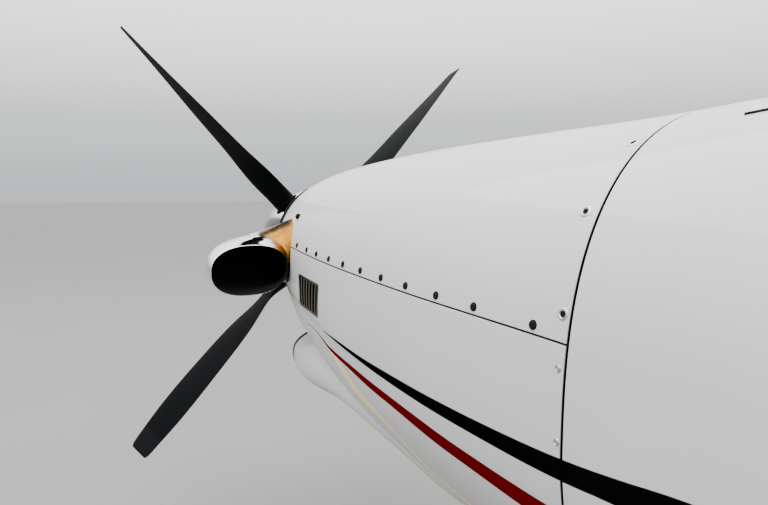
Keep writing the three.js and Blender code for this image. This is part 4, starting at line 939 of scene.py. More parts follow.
def nose():
    stack_hole = both(Form().grid(stack_rings(np.linspace(-1, 4, 30), 5.0)))
    louvre_hole = both(prism(LOUVRE, 200, 600, 10))
    mouth = Form().grid(scoop_rings(np.linspace(240, 500, 12), SCOOP_LIP))
    upper = cut(cut(cowl_half(True), stack_hole), fastener_holes())
    lower = cut(cut(cowl_half(False), together(stack_hole, louvre_hole)), together(block(*NOSE_BAY), mouth))
    piece("upper_cowl", shade_as_hull(upper), "airframe", "airframe_paint", STRIPED, "cowl_upper")
    piece("lower_cowl", shade_as_hull(lower), "airframe", "airframe_paint", STRIPED, "cowl_lower")
    piece("chin_scoop", scoop_form(), "airframe", "airframe_paint", PAINT, "chin_intake", angle=50)
    ring = full_turn(10)
    lip = scoop_rings(np.full(10, 266.0), 2 - 8 * np.cos(ring))
    lip[:, :, 1] += 7 * np.sin(ring)[:, None]
    piece("scoop_lip", Form().grid(lip, wrap_rows=True), "airframe", "tyre_rubber", SOOT_AND_SHADE)
    fasteners()
    grille = louvre_grille()
    for name, side in SIDES.items():
        for part, form, slot, look in grille:
            form = form if side > 0 else form.mirrored()
            piece(f"louvre_{part}_{name}", form, "airframe", slot, look)
        form = stack_form() if side > 0 else stack_form().mirrored()
        stack = piece("exhaust_" + name, form, "airframe", "exhaust_steel", [STACK, SOOT_AND_SHADE],
                      "exhaust_stack_" + name, 60)
        inner = np.zeros(len(stack.data.polygons), np.int32)
        inner[STACK_AROUND * STACK_OUTER_ROWS:] = 1
        stack.data.polygons.foreach_set("material_index", inner)
    seam_shade_backing()


def seam_shade_backing():
    """Painted shade: a black strip behind the parting line and a black ring behind the firewall seam, so that
    no light shows and the seams read as shaded gaps.
    """
    st = np.linspace(COWL_FRONT + 30, COWL_END - 8, 60)[:, None]
    lift = np.array([-22, -22, 22, 22])[None]
    inset = np.array([8.0, 14.0, 14.0, 8.0])[None] + 5
    form = both(Form().grid(hull_point(st, hull_angle(st, parting(st) + lift, inset), inset)))
    a = full_turn(160)[None]
    rows = np.array([COWL_END - 25, COWL_END - 25, FIREWALL + 20, FIREWALL + 20])[:, None]
    form.grid(hull_point(rows, a, np.array([5.0, 16.0, 16.0, 5.0])[:, None] + 3.5), wrap_rows=True)
    piece("seam_shade_backing", form, "airframe", "engine_metal", SOOT_AND_SHADE)
    turn = full_turn(12)[:, None]
    bead = hull_point(COWL_FRONT + 4 + 12 * np.cos(turn), a, 2.0 + 12 * np.sin(turn))
    piece("cowl_front_bead", Form().grid(bead, wrap_rows=True), "airframe", "tyre_rubber", SOOT_AND_SHADE)


# Propeller. Rows: radius, chord, thickness, degrees from the plane of rotation, sweep of the chord's middle
BLADE_ROWS = np.array([
    [185, 92, 88, 100, 0],
    [250, 118, 66, 108, 0],
    [330, 150, 42, 105, 4],
    [480, 178, 28, 92, 7],
    [680, 180, 20, 85.5, 8],
    [860, 161, 15, 80, 5],
    [985, 130, 11, 77, 2],
    [1036, 114, 8, 76, 0],
    [1048, 95, 5, 76, 0],
])
BLADE_COUNT = 4
HUB_RADIUS = 118.0
SPINNER_BACK = 90.0
SPINNER_WALL = 5.0
BLADE_HOLE = 54


def blade_rings(radius, around=48):
    """A section whose upper half is an aerofoil with a round nose; near the root it fades into an oval."""
    chord, thick, degrees, sweep = [follow(BLADE_ROWS, column, radius)[:, None] for column in range(1, 5)]
    pitch = np.radians(degrees)
    a = full_turn(around)[None]
    share = (1 - np.cos(a)) / 2
    oval = np.sin(a) / 2
    foil = np.sign(np.sin(a)) * (1.45 * np.sqrt(share) - 0.62 * share - 1.75 * share**2 + 1.4 * share**3
                                 - 0.48 * share**4)
    foil = foil * np.where(np.sin(a) > 0, 0.62, 0.38) / 0.5
    fade = np.clip((radius[:, None] - 230) / 160, 0, 1)
    across = thick * (oval * (1 - fade) + foil * 0.5 * fade)
    along = chord * (0.5 - share) + sweep
    x = -along * np.cos(pitch) - across * np.sin(pitch)
    st = -along * np.sin(pitch) + across * np.cos(pitch)
    return np.stack(np.broadcast_arrays(x, st, radius[:, None] + 0 * a), -1)


def about_shaft(form, turn):
    """Turns shapes made on a vertical blade about the propeller's shaft and lifts them to the hub."""
    c, s = math.cos(turn), math.sin(turn)
    matrix = np.array([[c, 0, s], [0, 1, 0], [-s, 0, c]])
    form.points = [points @ matrix.T + (0, 0, HUB_HEIGHT) for points in form.points]
    return form


def blade_form():
    radius = np.r_[np.linspace(170, 1036, 90), 1036 + 12 * np.sin(np.linspace(0.1, math.pi / 2, 8))]
    return Form().grid(blade_rings(radius))


def spinner_radius(st):
    """A quarter sine, raised to 0.75, from the tip to the back."""
    share = (st + SPINNER_LENGTH) / (SPINNER_LENGTH + SPINNER_BACK)
    return SPINNER_RADIUS * np.sin(math.pi / 2 * np.clip(share, 0, 1)) ** 0.75


def flange_bolts(count, circle, st, profile):
    """Six-sided bolts spaced evenly round a circle about the shaft."""
    form = Form()
    for a in full_turn(count):
        spot = (circle * math.sin(a), st, HUB_HEIGHT + circle * math.cos(a))
        form.join(turned_profile(profile, spot, AFT, 6))
    return form


def propeller():
    centre = (0, 0, HUB_HEIGHT)
    outer = -SPINNER_LENGTH + (SPINNER_LENGTH + SPINNER_BACK) * np.linspace(0, 1, 60) ** 1.8
    inner = outer[::-1][:-6]
    profile = np.r_[np.column_stack([spinner_radius(outer), outer]),
                    np.column_stack([np.maximum(spinner_radius(inner) - SPINNER_WALL, 0), inner + 1])]
    cone = turned_profile(profile, centre, AFT, 128, wrap=True)
    holes = Form()
    turns = math.pi / 4 + full_turn(BLADE_COUNT)
    for turn in turns:
        holes.join(about_shaft(rod((0, 0, 100), (0, 0, 400), BLADE_HOLE, sides=48), turn))
    piece("spinner_cone", cut(cone, holes), "propeller_unit", "spinner_metal", CHROME, "spinner", angle=40)
    for k, turn in enumerate(turns):
        name = f"blade_{k + 1}"
        piece(name, about_shaft(blade_form(), turn), "propeller_unit", "blade_paint", BLADE, angle=50)
        collar = [(44, 110), (52, 118), (58, 128), (58, 150), (50, 158), (46, 176), (40, 180), (40, 110)]
        root = turned_profile(collar, (0, 0, 0), UP, 48, wrap=True)
        piece(f"blade_clamp_{k + 1}", about_shaft(root, turn), "propeller_unit", "engine_metal", CAST)
    hub = [(0, -128), (52, -124), (78, -108), (HUB_RADIUS - 6, -95), (HUB_RADIUS, -88), (HUB_RADIUS, 60),
           (HUB_RADIUS - 8, 72), (90, 76), (90, 88), (0, 88)]
    hub_form = turned_profile(hub, centre, AFT, 64)
    hub_form.join(flange_bolts(12, 100, -92, [(0, 0), (7, 0), (7, -9), (4, -11), (0, -11)]))
    piece("propeller_hub", hub_form, "propeller_unit", "engine_metal", CAST, "propeller")
    rim = SPINNER_RADIUS - 7
    plate = [(60, 82), (rim - 12, 82), (rim - 8, 74), (rim, 74), (rim, 88), (60, 88)]
    piece("spinner_backplate", turned_profile(plate, centre, AFT, 96, wrap=True), "propeller_unit",
          "spinner_metal", STEEL)


def engine():
    """What shows past the spinner and through the louvres: case, gearbox, pipes, flange bolts and baffle."""
    centre = (0, 0, HUB_HEIGHT)
    gearbox = [(0, 96), (58, 96), (58, 128), (96, 134), (124, 150), (130, 175), (130, 230), (142, 236),
               (142, 252), (132, 258), (132, 330), (150, 336), (150, 352), (138, 358), (160, 440),
               (182, 470), (182, 900), (196, 906), (196, 924), (178, 930), (178, 1300), (150, 1340),
               (150, FIREWALL - 20), (0, FIREWALL - 20)]
    form = turned_profile(gearbox, centre, AFT, 64)
    form.join(flange_bolts(20, 136, 236, [(0, 0), (5, 0), (5, -7), (0, -7)]))
    for side in (1, -1):
        for k in range(5):
            st = 560 + k * 150
            form.join(pipe([(side * 150, st, 1260), (side * 205, st + 25, 1300), (side * 205, st + 60, 1380),
                            (side * 120, st + 90, 1440)], 8, 10, 16))
    piece("engine_case", form, "airframe", "engine_metal", CAST, "engine_block")
    a = full_turn(160)[None]
    st = np.array([COWL_FRONT + 34, COWL_FRONT + 34, COWL_FRONT + 30, COWL_FRONT + 30.0])[:, None]
    rings = hull_point(st, a, COWL_WALL + 2)
    middle = np.array([0, 0, HUB_HEIGHT])
    reach = 150 / np.linalg.norm((rings - middle)[..., [0, 2]], axis=-1, keepdims=True)
    small = middle * (1 - reach) + rings * reach
    small[..., 1] = rings[..., 1]
    baffle = np.stack([small[0], rings[0], rings[2], small[2]])
    piece("cowl_baffle", Form().grid(baffle, wrap_rows=True), "airframe", "engine_metal", DARK_STEEL)


# Cabin shell, glass and doors
CABIN_WALL = 45.0
GLASS_IN, GLASS_WALL = 3.0, 8.0
WINDSHIELD = [[2235, 1722], [2420, 1700], [2690, 1668], [2925, 1985], [3030, 2060], [2600, 2060]]
WINDSHIELD_POST = 28.0
PANE_MARGIN, PANE_GAP = 60, 0.6
PILOT_WINDOW = [[2770, 1670], [3240, 1670], [3225, 1935], [3010, 1945]]
CABIN_WINDOWS = {"left": [3700, 4350], "right": [3700, 4350, 5000]}
WINDOW_HEIGHT, WINDOW_CORNER = 1655.0, 70.0
DOOR = {"front": 4720, "back": 5340, "sill": 870, "split": 1400, "top": 1905}
DOOR_MIDDLE = (DOOR["front"] + DOOR["back"]) / 2
DOOR_WINDOW = (DOOR_MIDDLE, 175, 150)
BAGGAGE = {"front": 1905, "back": 2200, "sill": 1215, "top": 1560}
CUT_TURN_HEIGHT = 1500.0
OUTSIDE = 900.0
DOOR_GAP = 5.0


def window_outline(st, half_length=195, half_height=160):
    return oblong(st - half_length, st + half_length, WINDOW_HEIGHT - half_height,
                  WINDOW_HEIGHT + half_height)


def panes():
    """Every pane: name, side, outline, where it starts across the aeroplane, corner radius."""
    listed = []
    for name, side in SIDES.items():
        listed.append(("windshield_" + name, side, WINDSHIELD, WINDSHIELD_POST, 25))
        listed.append(("pilot_window_" + name, side, PILOT_WINDOW, 300, 55))
        for i, st in enumerate(CABIN_WINDOWS[name]):
            listed.append((f"cabin_window_{name}_{i + 1}", side, window_outline(st), 300, WINDOW_CORNER))
    listed.append(("door_window", 1, window_outline(*DOOR_WINDOW), 300, WINDOW_CORNER))
    return listed


def grown(points, by):
    """An outline moved outwards, each point away from the middle in proportion."""
    points = np.asarray(points, float)
    away = points - points.mean(0)
    return points + away * by * 1.3 / np.linalg.norm(away, axis=1, keepdims=True)


def pane_prism(side, points, x0, corner, grow=0.0):
    form = prism(grown(points, grow), x0 - grow, OUTSIDE, corner)
    return form if side > 0 else form.mirrored()


def hull_slug(stations, inset, around=120):
    """The hull's sections at some stations, moved in by inset, as one closed shape."""
    return Form().grid(hull_point(np.reshape(stations, (-1, 1)), full_turn(around)[None], inset))


def hull_layer(st0, st1, inset, wall, around=160, step=22):
    """A closed tube of hull between two stations: outer skin, rounded ends and inner skin."""
    radius = min(1.5, wall / 2)
    st, end_inset = edge_rows(st0, st1, step, radius)
    a = full_turn(around)[None]
    outer = hull_point(st, a, inset + end_inset)
    inner = hull_point(st[::-1], a, inset + wall - end_inset[::-1])
    return Form().grid(np.concatenate([outer, inner]), wrap_rows=True)


def turn_about(form, st, degrees):
    """Turns a cut about the vertical through the hull's side at a station."""
    centre = np.array([float(skin_x(st, CUT_TURN_HEIGHT)), st, 0.0])
    c, s = math.cos(math.radians(degrees)), math.sin(math.radians(degrees))
    matrix = np.array([[c, -s, 0], [s, c, 0], [0, 0, 1]])
    form.points = [(points - centre) @ matrix.T + centre for points in form.points]
    return form


def door_cut(grow, low, high):
    space = block(150, OUTSIDE, DOOR["front"] - grow, DOOR["back"] + grow, low, high, 60 + grow)
    return turn_about(space, DOOR_MIDDLE, 10)


def baggage_cut(grow):
    front, back, sill, top = BAGGAGE.values()
    space = block(200, OUTSIDE, front - grow, back + grow, sill - grow, top + grow, 40 + grow)
    return turn_about(space, front, -10)


def band(outline, side, x_low, width, height, sink=2.0):
    """A low strip laid round an outline on the hull's skin: its ring is a flat arch across the outline."""
    outline = np.asarray(outline, float)
    step = np.roll(outline, -1, 0) - np.roll(outline, 1, 0)
    away = np.column_stack([step[:, 1], -step[:, 0]]) / np.linalg.norm(step, axis=1, keepdims=True)
    if np.sum(outline * away) < np.sum(outline.mean(0) * away):
        away = -away
    rows = []
    for across, out in ((0, -sink), (0, height * 0.5), (0.25, height), (0.75, height), (1, height * 0.4),
                        (1, -sink)):
        flat = outline + away * across * width
        points = np.column_stack([skin_x(flat[:, 0], flat[:, 1]), flat])
        top = np.maximum(points[:, 0], x_low)
        raised = np.column_stack([top, flat[:, 0], flat[:, 1]])
        edge = points[:, 0] < x_low
        crown = hull_point(flat[:, 0], hull_crown_angle(flat[:, 0], x_low))
        raised[edge] = crown[edge]
        rows.append(raised + out * hull_normal(raised))
    form = Form().grid(np.stack(rows), wrap_rows=True)
    return form if side > 0 else form.mirrored()


def hull_crown_angle(st, x):
    """The angle at which the upper hull is x wide of the middle."""
    half, _, _, _, power, _ = section(st)
    return np.arccos(np.clip(x / half, 0, 1) ** (power / 2))


def cabin():
    glass_holes, door_window_hole = Form(), Form()
    seals = Form()
    door_seal = Form()
    for name, side, points, x0, corner in panes():
        hole = pane_prism(side, points, x0, corner)
        (door_window_hole if name == "door_window" else glass_holes).join(hole)
        stations = [station for station, _ in points]
        local = hull_layer(min(stations) - PANE_MARGIN, max(stations) + PANE_MARGIN, GLASS_IN, GLASS_WALL,
                           200, 16)
        pane = cut(local, pane_prism(side, points, x0, corner, -PANE_GAP), "INTERSECT")
        body = "door_upper_unit" if name == "door_window" else "airframe"
        piece("pane_" + name, shade_as_hull(pane), body, "window_glass", GLASS, name)
        edge = band(rounded(grown(points, -1), corner, 9), side, x0, 9, 1.6, 4)
        (door_seal if name == "door_window" else seals).join(edge)
    piece("window_seals", seals, "airframe", "tyre_rubber", SEAL)
    piece("door_window_seal", door_seal, "door_upper_unit", "tyre_rubber", SEAL)
    shell = hull_layer(SHELL_START, AFT_BULKHEAD, 0.0, CABIN_WALL, 200, 20)
    shell = cut(shell, glass_holes)
    openings = door_cut(DOOR_GAP, DOOR["sill"] - DOOR_GAP, DOOR["top"] + DOOR_GAP)
    openings.join(baggage_cut(DOOR_GAP).mirrored())
    openings.join(block(*NOSE_BAY))
    shell = cut(shell, openings)
    piece("fuselage_shell", shade_as_hull(shell, 1), "airframe", "airframe_paint", [STRIPED_AFT, LINING],
          "cabin_shell")
    walls = ((FIREWALL + 8, 6), (2265, 8), (AFT_BULKHEAD - 30, 8))
    bulkheads = together(*(hull_slug([st, st + thick], 22.0) for st, thick in walls))
    piece("bulkheads", cut(bulkheads, block(*NOSE_BAY)), "airframe", "cabin_trim", LINING)
    doors()


def door_leaf(low, high, extra=None):
    """A panel of the hull, thick by the wall, inside the door's outline."""
    local = hull_layer(DOOR["front"] - 160, DOOR["back"] + 160, 0.0, CABIN_WALL, 240, 14)
    leaf = cut(local, door_cut(0, DOOR["sill"], DOOR["top"]), "INTERSECT")
    leaf = cut(leaf, block(0, OUTSIDE, DOOR["front"] - 220, AFT_BULKHEAD, low, high), "INTERSECT")
    if extra:
        leaf = cut(leaf, extra)
    return shade_as_hull(leaf, 1)


def handle(side, st, z, length):
    """A flush handle: a shallow cup ring and a bowed grip over it."""
    spot, normal = on_skin(side, st, z)
    along = AFT - normal * normal[1]
    along /= np.linalg.norm(along)
    ends = [spot + along * s * length / 2 + normal * h for s, h in ((-1, -2), (-0.8, 7), (-0.3, 11),
                                                                    (0.3, 11), (0.8, 7), (1, -2))]
    return pipe(ends, 5.5, 12, 24), turned_profile([(0, -1), (26, -1), (26, 0.6), (23, 1.6), (0, 1.2)],
                                                   spot, normal, 40)


KNUCKLE_LENGTH, KNUCKLE_RADIUS, KNUCKLE_GAP = 40, 7, 0.3


def hinges(z, up, shares, front, back):
    """Knuckles on a pin along the hinge line: the door's own, and the shell's beside each."""
    a = np.array([float(skin_x(front, z)) + 8, front, z])
    b = np.array([float(skin_x(back, z)) + 8, back, z])
    length = np.linalg.norm(b - a)
    u = (b - a) / length
    moving, still = Form(), Form()
    for share in shares:
        start = a + u * share * length
        for form, way, near, far in ((moving, -up, 0, KNUCKLE_LENGTH),
                                     (still, up, KNUCKLE_LENGTH + KNUCKLE_GAP, 2 * KNUCKLE_LENGTH)):
            ends = start + u * near, start + u * far
            form.join(rod(*ends, KNUCKLE_RADIUS, sides=24)).join(strap(*ends, way))
    return moving, still


def strap(a, b, up):
    """A leaf from a knuckle down or up to the skin."""
    rows = []
    for lift, out in ((0, -1), (up * 9, -6), (up * 30, -11), (up * 30, -14), (up * 9, -12), (0, -7)):
        rows.append([a + (out + 4, 0, lift), b + (out + 4, 0, lift)])
    return Form().grid(np.array(rows).transpose(1, 0, 2))


def doors():
    gap = DOOR_GAP / 2
    extra = pane_prism(1, window_outline(*DOOR_WINDOW), 300, WINDOW_CORNER)
    upper = door_leaf(DOOR["split"] + gap, 2200, extra)
    lower = door_leaf(600, DOOR["split"] - gap)
    piece("upper_door", upper, "door_upper_unit", "airframe_paint", [STRIPED, LINING], "door_upper")
    piece("lower_door", lower, "door_lower_unit", "airframe_paint", [STRIPED, LINING], "door_lower")
    local = hull_layer(BAGGAGE["front"] - 90, BAGGAGE["back"] + 90, 0.0, CABIN_WALL, 240, 14)
    hatch = shade_as_hull(cut(local, baggage_cut(0).mirrored(), "INTERSECT"), 1)
    piece("nose_hatch", hatch, "baggage_door_unit", "airframe_paint", [STRIPED, LINING], "baggage_door")
    spots = [
        ("door_upper_unit", DOOR["top"] + 10, 1, (0.15, 0.78), DOOR),
        ("door_lower_unit", DOOR["sill"] - 10, -1, (0.15, 0.78), DOOR),
        ("baggage_door_unit", BAGGAGE["top"] + 10, 1, (0.14, 0.58), BAGGAGE),
    ]
    fixed = Form()
    for body, z, up, shares, edge in spots:
        moving, still = hinges(z, up, shares, edge["front"], edge["back"])
        if edge is BAGGAGE:
            moving, still = moving.mirrored(), still.mirrored()
        piece("hinge_" + body, moving, body, "leg_paint", STEEL)
        fixed.join(still)
    piece("hinge_leaves", fixed, "airframe", "leg_paint", STEEL)
    grips = [("door_upper_unit", 1, DOOR_MIDDLE, 1450, 110), ("baggage_door_unit", -1, 2055, 1250, 70)]
    for body, side, st, z, length in grips:
        grip, cup = handle(side, st, z, length)
        piece("handle_" + body, grip.join(cup), body, "spinner_metal", PISTON)
    steps = Form()
    for z in (1010, 1190):
        inner = float(skin_x(DOOR_MIDDLE, z, CABIN_WALL)) - 4
        steps.join(block(inner - 150, inner + 6, DOOR["front"] + 110, DOOR["back"] - 110, z, z + 24, 8))
    piece("door_steps", steps, "door_lower_unit", "cabin_trim", CARPET, bevel=2)


# Wings and tail. Rows: span, leading edge station, trailing edge station, thickness share of the chord
WING = np.array([
    [330, 2755, 4660, 0.15],
    [1150, 2905, 4600, 0.15],
    [1750, 3060, 4552, 0.145],
    [6380, 3300, 4200, 0.12],
    [6500, 3345, 4180, 0.10],
    [6555, 3450, 4140, 0.06],
])
WING_CAMBER, WING_HEIGHT, DIHEDRAL = 0.015, 740.0, math.tan(math.radians(5))
FLAP = {"inner": 760, "outer": 3480, "share": 0.72, "drop": 50, "brackets": (850, 2150, 3330)}
AILERON = {"inner": 3545, "outer": 6230, "share": 0.76, "nose": (44, 27)}
END_GAP, NOSE_GAP = 8.0, 6.0
FIN = np.array([
    [1420, 6810, 8390, 0.085],
    [1780, 6960, 8430, 0.09],
    [2050, 7150, 8452, 0.09],
    [3330, 7930, 8556, 0.09],
    [3400, 7990, 8562, 0.075],
    [3440, 8080, 8570, 0.05],
])
RUDDER = {"low": (0, 8118, 1420), "high": (0, 8322, 3330), "nose": (40, 24)}
TAILPLANE = np.array([
    [60, 7330, 8290, 0.10],
    [2150, 7560, 8190, 0.09],
    [2220, 7610, 8180, 0.07],
    [2260, 7700, 8165, 0.04],
])
TAILPLANE_HEIGHT, ELEVATOR_ST, TAIL_END_ST = 1475.0, 8010.0, 8050.0
ELEVATOR_MIDDLE = (0, ELEVATOR_ST, TAILPLANE_HEIGHT)
ELEVATOR = {"low": (185, ELEVATOR_ST, TAILPLANE_HEIGHT), "high": (2140, ELEVATOR_ST, TAILPLANE_HEIGHT),
            "nose": (29, 18.2)}
DORSAL = np.array([[5950, 1880, 8], [6400, 1925, 16], [6960, 2000, 30], [7350, 2150, 44]])


def foil(share, ratio, camber):
    """Camber line 4c s(1 - s); half thickness 5t times a curve of s^0.5, s, s^2, s^3 and s^4."""
    curve = (0.2969 * np.sqrt(share) - 0.126 * share - 0.3516 * share**2 + 0.2843 * share**3
             - 0.1036 * share**4)
    return 4 * camber * share * (1 - share), 5 * ratio * curve


def straight(table, at):
    """A table's columns, straight between its rows."""
    return [np.interp(at, table[:, 0], table[:, column]) for column in range(1, table.shape[1])]


def foil_points(table, span, share, side, camber=0.0, out=0.0):
    """Span, station and rise above the chord plane; side is 1 on the upper skin and -1 on the lower."""
    lead, trail, ratio = straight(table, span)
    middle, half = foil(share, ratio, camber)
    chord = trail - lead
    return lead + share * chord, chord * middle + side * (chord * half + 0.8 * share + out)


def wing_place(span, st, rise):
    return np.stack(np.broadcast_arrays(span, st, WING_HEIGHT + (span - 600) * DIHEDRAL + rise), -1)


def fin_place(span, st, rise):
    return np.stack(np.broadcast_arrays(rise, st, span), -1)


def tailplane_place(span, st, rise):
    return np.stack(np.broadcast_arrays(span, st, TAILPLANE_HEIGHT + rise), -1)


def foil_loft(table, place, camber=0.0, tip=2, around=120, step=90):
    """Foil sections along the span; the tip's thickness falls off as a quarter ellipse."""
    start, finish = table[-tip, 0], table[-1, 0]
    knots = np.unique(np.r_[table[:-1, 0], np.arange(table[0, 0], start, step)])
    turn = np.linspace(0, 1.5, 12)[1:]
    span = np.r_[knots[knots <= start], start + (finish - start) * np.sin(turn)][:, None]
    thin = np.r_[np.ones(np.sum(knots <= start)), np.cos(turn)][:, None]
    a = full_turn(around)[None]
    share = (1 + np.cos(a)) / 2
    side = np.sign(np.round(np.sin(a), 9))
    st, rise = foil_points(table, span, share, side, camber)
    _, middle = foil_points(table, span, share, 0, camber)
    return Form().grid(place(span, st, middle + (rise - middle) * thin))


def boot_strip(table, place, low, high, camber=0.0, reach=0.055, step=60):
    """A thin rubber sheet folded round the leading edge, with a feathered edge each side."""
    span = np.arange(low, high, step, dtype=float)[:, None]
    a = np.linspace(-1, 1, 41)[None]
    share, side = reach * a**2, np.sign(a) + (a == 0)
    edge = np.clip((1 - np.abs(a)) / 0.08, 0, 1)
    skin = place(span, *foil_points(table, span, share, side, camber, 1.6 * edge))
    under = place(span, *foil_points(table, span, share + 0.0004, side, camber, -2.5))
    nose = np.exp(-(a / 0.12) ** 2)[..., None] * (0, 1.4, 0)
    return Form().grid(np.concatenate([skin - nose, under[:, ::-1]], 1))


def hinge_axes(a, b):
    """Along the hinge, aft of it and square to both, with the hinge's length."""
    a, b = np.asarray(a, float), np.asarray(b, float)
    length = np.linalg.norm(b - a)
    along = (b - a) / length
    aft = np.array([0.0, 1, 0]) - along * along[1]
    aft /= np.linalg.norm(aft)
    return a, along, aft, np.cross(along, aft), length


def hinge_place(axes, along, flat):
    """Points given as (aft, up) from the hinge, at a distance along it."""
    flat = np.asarray(flat, float)
    return axes[0] + along * axes[1] + flat[:, :1] * axes[2] + flat[:, 1:] * axes[3]


def hinge_pin(axes, start, end, radius, **settings):
    """A round pin along the hinge line between two distances from its start."""
    return rod(axes[0] + axes[1] * start, axes[0] + axes[1] * end, radius, **settings)


def nosed_space(axes, start, end, radii, wide=700.0, aft=3000.0):
    """Everything aft of a hinge line and a tapered round nose about it."""
    arc = np.linspace(math.pi / 2, 3 * math.pi / 2, 33)
    rows = []
    for along in (start, end):
        r = radii[0] + (radii[1] - radii[0]) * along / axes[4]
        nose = np.column_stack([r * np.cos(arc), r * np.sin(arc)])
        ring = np.concatenate([[[aft, wide], [0, wide]], nose, [[0, -wide], [aft, -wide]]])
        rows.append(hinge_place(axes, along, ring))
    return Form().grid(np.stack(rows))


def flap_space(axes, start, end, gap):
    """Everything aft of the flap's front, a curve that leans back near the upper skin, less a gap."""
    rows = []
    for along in (start, end):
        x = FLAP["inner"] + (FLAP["outer"] - FLAP["inner"]) * along / axes[4]
        lead, trail, ratio = straight(WING, x)
        thick = 2 * foil(FLAP["share"], ratio, 0)[1] * (trail - lead)
        s = np.linspace(-0.25, 1.3, 40)
        v = 24 * (np.maximum(0.35 - s, 0) / 0.35) ** 2 + 78 * (np.maximum(s - 0.35, 0) / 0.65) ** 2.2 - gap
        curve = np.column_stack([v, FLAP["drop"] + s * thick])
        rows.append(hinge_place(axes, along,
                                np.concatenate([curve, [[2500, curve[-1, 1]], [2500, curve[0, 1]]]])))
    return Form().grid(np.stack(rows))


def hinge_plate(axes, outline, start, thick, corner=8.0):
    flat = rounded(outline, corner, 4)
    return Form().grid(np.stack([hinge_place(axes, u, flat) for u in (start, start + thick)]))


def mirrored_mesh(mesh):
    other = mesh.copy()
    points = read(other.vertices, "co", 3) * (-1, 1, 1)
    other.vertices.foreach_set("co", points.astype(np.float32).ravel())
    other.flip_normals()
    other.update()
    return other


def both_sides(name, mesh, body, slot, looks, node=None, **settings):
    """The same mesh as a left and, mirrored, a right piece; {} in a name takes the side."""
    mesh = mesh.mesh(name) if isinstance(mesh, Form) else mesh
    for side, form in (("left", mesh), ("right", mirrored_mesh(mesh))):
        piece(f"{name}_{side}", form, body.format(side), slot, looks, node and node.format(side), **settings)


def wing_point(x, share, side=1):
    """A point on the wing's skin and the way the skin faces there."""
    def at(x, share):
        return wing_place(x, *foil_points(WING, x, share, side, WING_CAMBER)).astype(float)
    spot = at(x, share)
    normal = np.cross(at(x + 1, share) - spot, at(x, share + 0.001) - spot) * side
    return spot, normal / np.linalg.norm(normal)


def hinge_ends(low, high, share, drop=None):
    ends = []
    for x in (low, high):
        st, middle = foil_points(WING, x, share, 0, WING_CAMBER)
        if drop is not None:
            lead, trail, ratio = straight(WING, x)
            middle -= foil(share, ratio, 0)[1] * (trail - lead) + drop
        ends.append((x, st, WING_HEIGHT + (x - 600) * DIHEDRAL + middle))
    return hinge_axes(*ends)


def wings():
    full = foil_loft(WING, wing_place, WING_CAMBER)
    flap_axes = hinge_ends(FLAP["inner"], FLAP["outer"], FLAP["share"], FLAP["drop"])
    aileron_axes = hinge_ends(AILERON["inner"], AILERON["outer"], AILERON["share"])
    nose = AILERON["nose"]
    core = hull_slug(np.linspace(2500, 4900, 60), 3.0)
    well = turned_profile([(WELL["radius"], 400), (WELL["radius"], WELL["roof"])], (WELL["x"], MAIN_ST, 0),
                          UP, 72)
    slot = block(LEG_SLOT["inner"], LEG_SLOT["outer"], MAIN_ST - LEG_SLOT["half"],
                 MAIN_ST + LEG_SLOT["half"], 400, LEG_SLOT["roof"])
    flap = cut(full, flap_space(flap_axes, 0, flap_axes[4], 0), "INTERSECT")
    aileron = cut(full, nosed_space(aileron_axes, 0, aileron_axes[4], nose), "INTERSECT")
    fixed = full
    for space in (core, well, slot, flap_space(flap_axes, -END_GAP, flap_axes[4] + END_GAP, NOSE_GAP),
                  nosed_space(aileron_axes, -END_GAP, aileron_axes[4] + END_GAP,
                              [r + NOSE_GAP for r in nose])):
        fixed = cut(fixed, space)
    both_sides("wing_skin", fixed, "airframe", "airframe_paint", WING_PAINT, "wing_{}")
    both_sides("flap_skin", flap, "flap_{}_unit", "airframe_paint", WING_PAINT, "flap_{}")
    both_sides("aileron_skin", aileron, "aileron_{}_unit", "airframe_paint", WING_PAINT, "aileron_{}")
    lugs, arms, bolts = Form(), Form(), Form()
    lug = [[8, 95], [150, 88], [20, -14], [-12, -14], [-14, 12]]
    arm = [[-190, 95], [-22, 62], [10, 14], [12, -14], [-16, -14]]
    for x in FLAP["brackets"]:
        u = (x - FLAP["inner"]) / (FLAP["outer"] - FLAP["inner"]) * flap_axes[4]
        lugs.join(hinge_plate(flap_axes, lug, u, 12))
        arms.join(hinge_plate(flap_axes, arm, u + 12.3, 11.7))
        at = flap_axes[0] + u * flap_axes[1]
        bolts.join(turned_profile([(0, -6), (8, -6), (9, -5), (9, 0.4), (0, 0.4)], at, flap_axes[1], 6))
        bolts.join(turned_profile([(0, 23.6), (9, 23.6), (9, 29), (5, 30), (5, 34), (0, 34)], at,
                                  flap_axes[1], 6))
    both_sides("flap_lugs", lugs, "flap_{}_unit", "leg_paint", LEG, bevel=1)
    both_sides("flap_arms", arms, "airframe", "leg_paint", LEG, bevel=1)
    both_sides("flap_bolts", bolts, "flap_{}_unit", "leg_paint", STEEL)
    both_sides("wing_boot", boot_strip(WING, wing_place, 900, 6380, WING_CAMBER), "airframe",
               "tyre_rubber", BOOT)
    wing_fittings(aileron_axes)


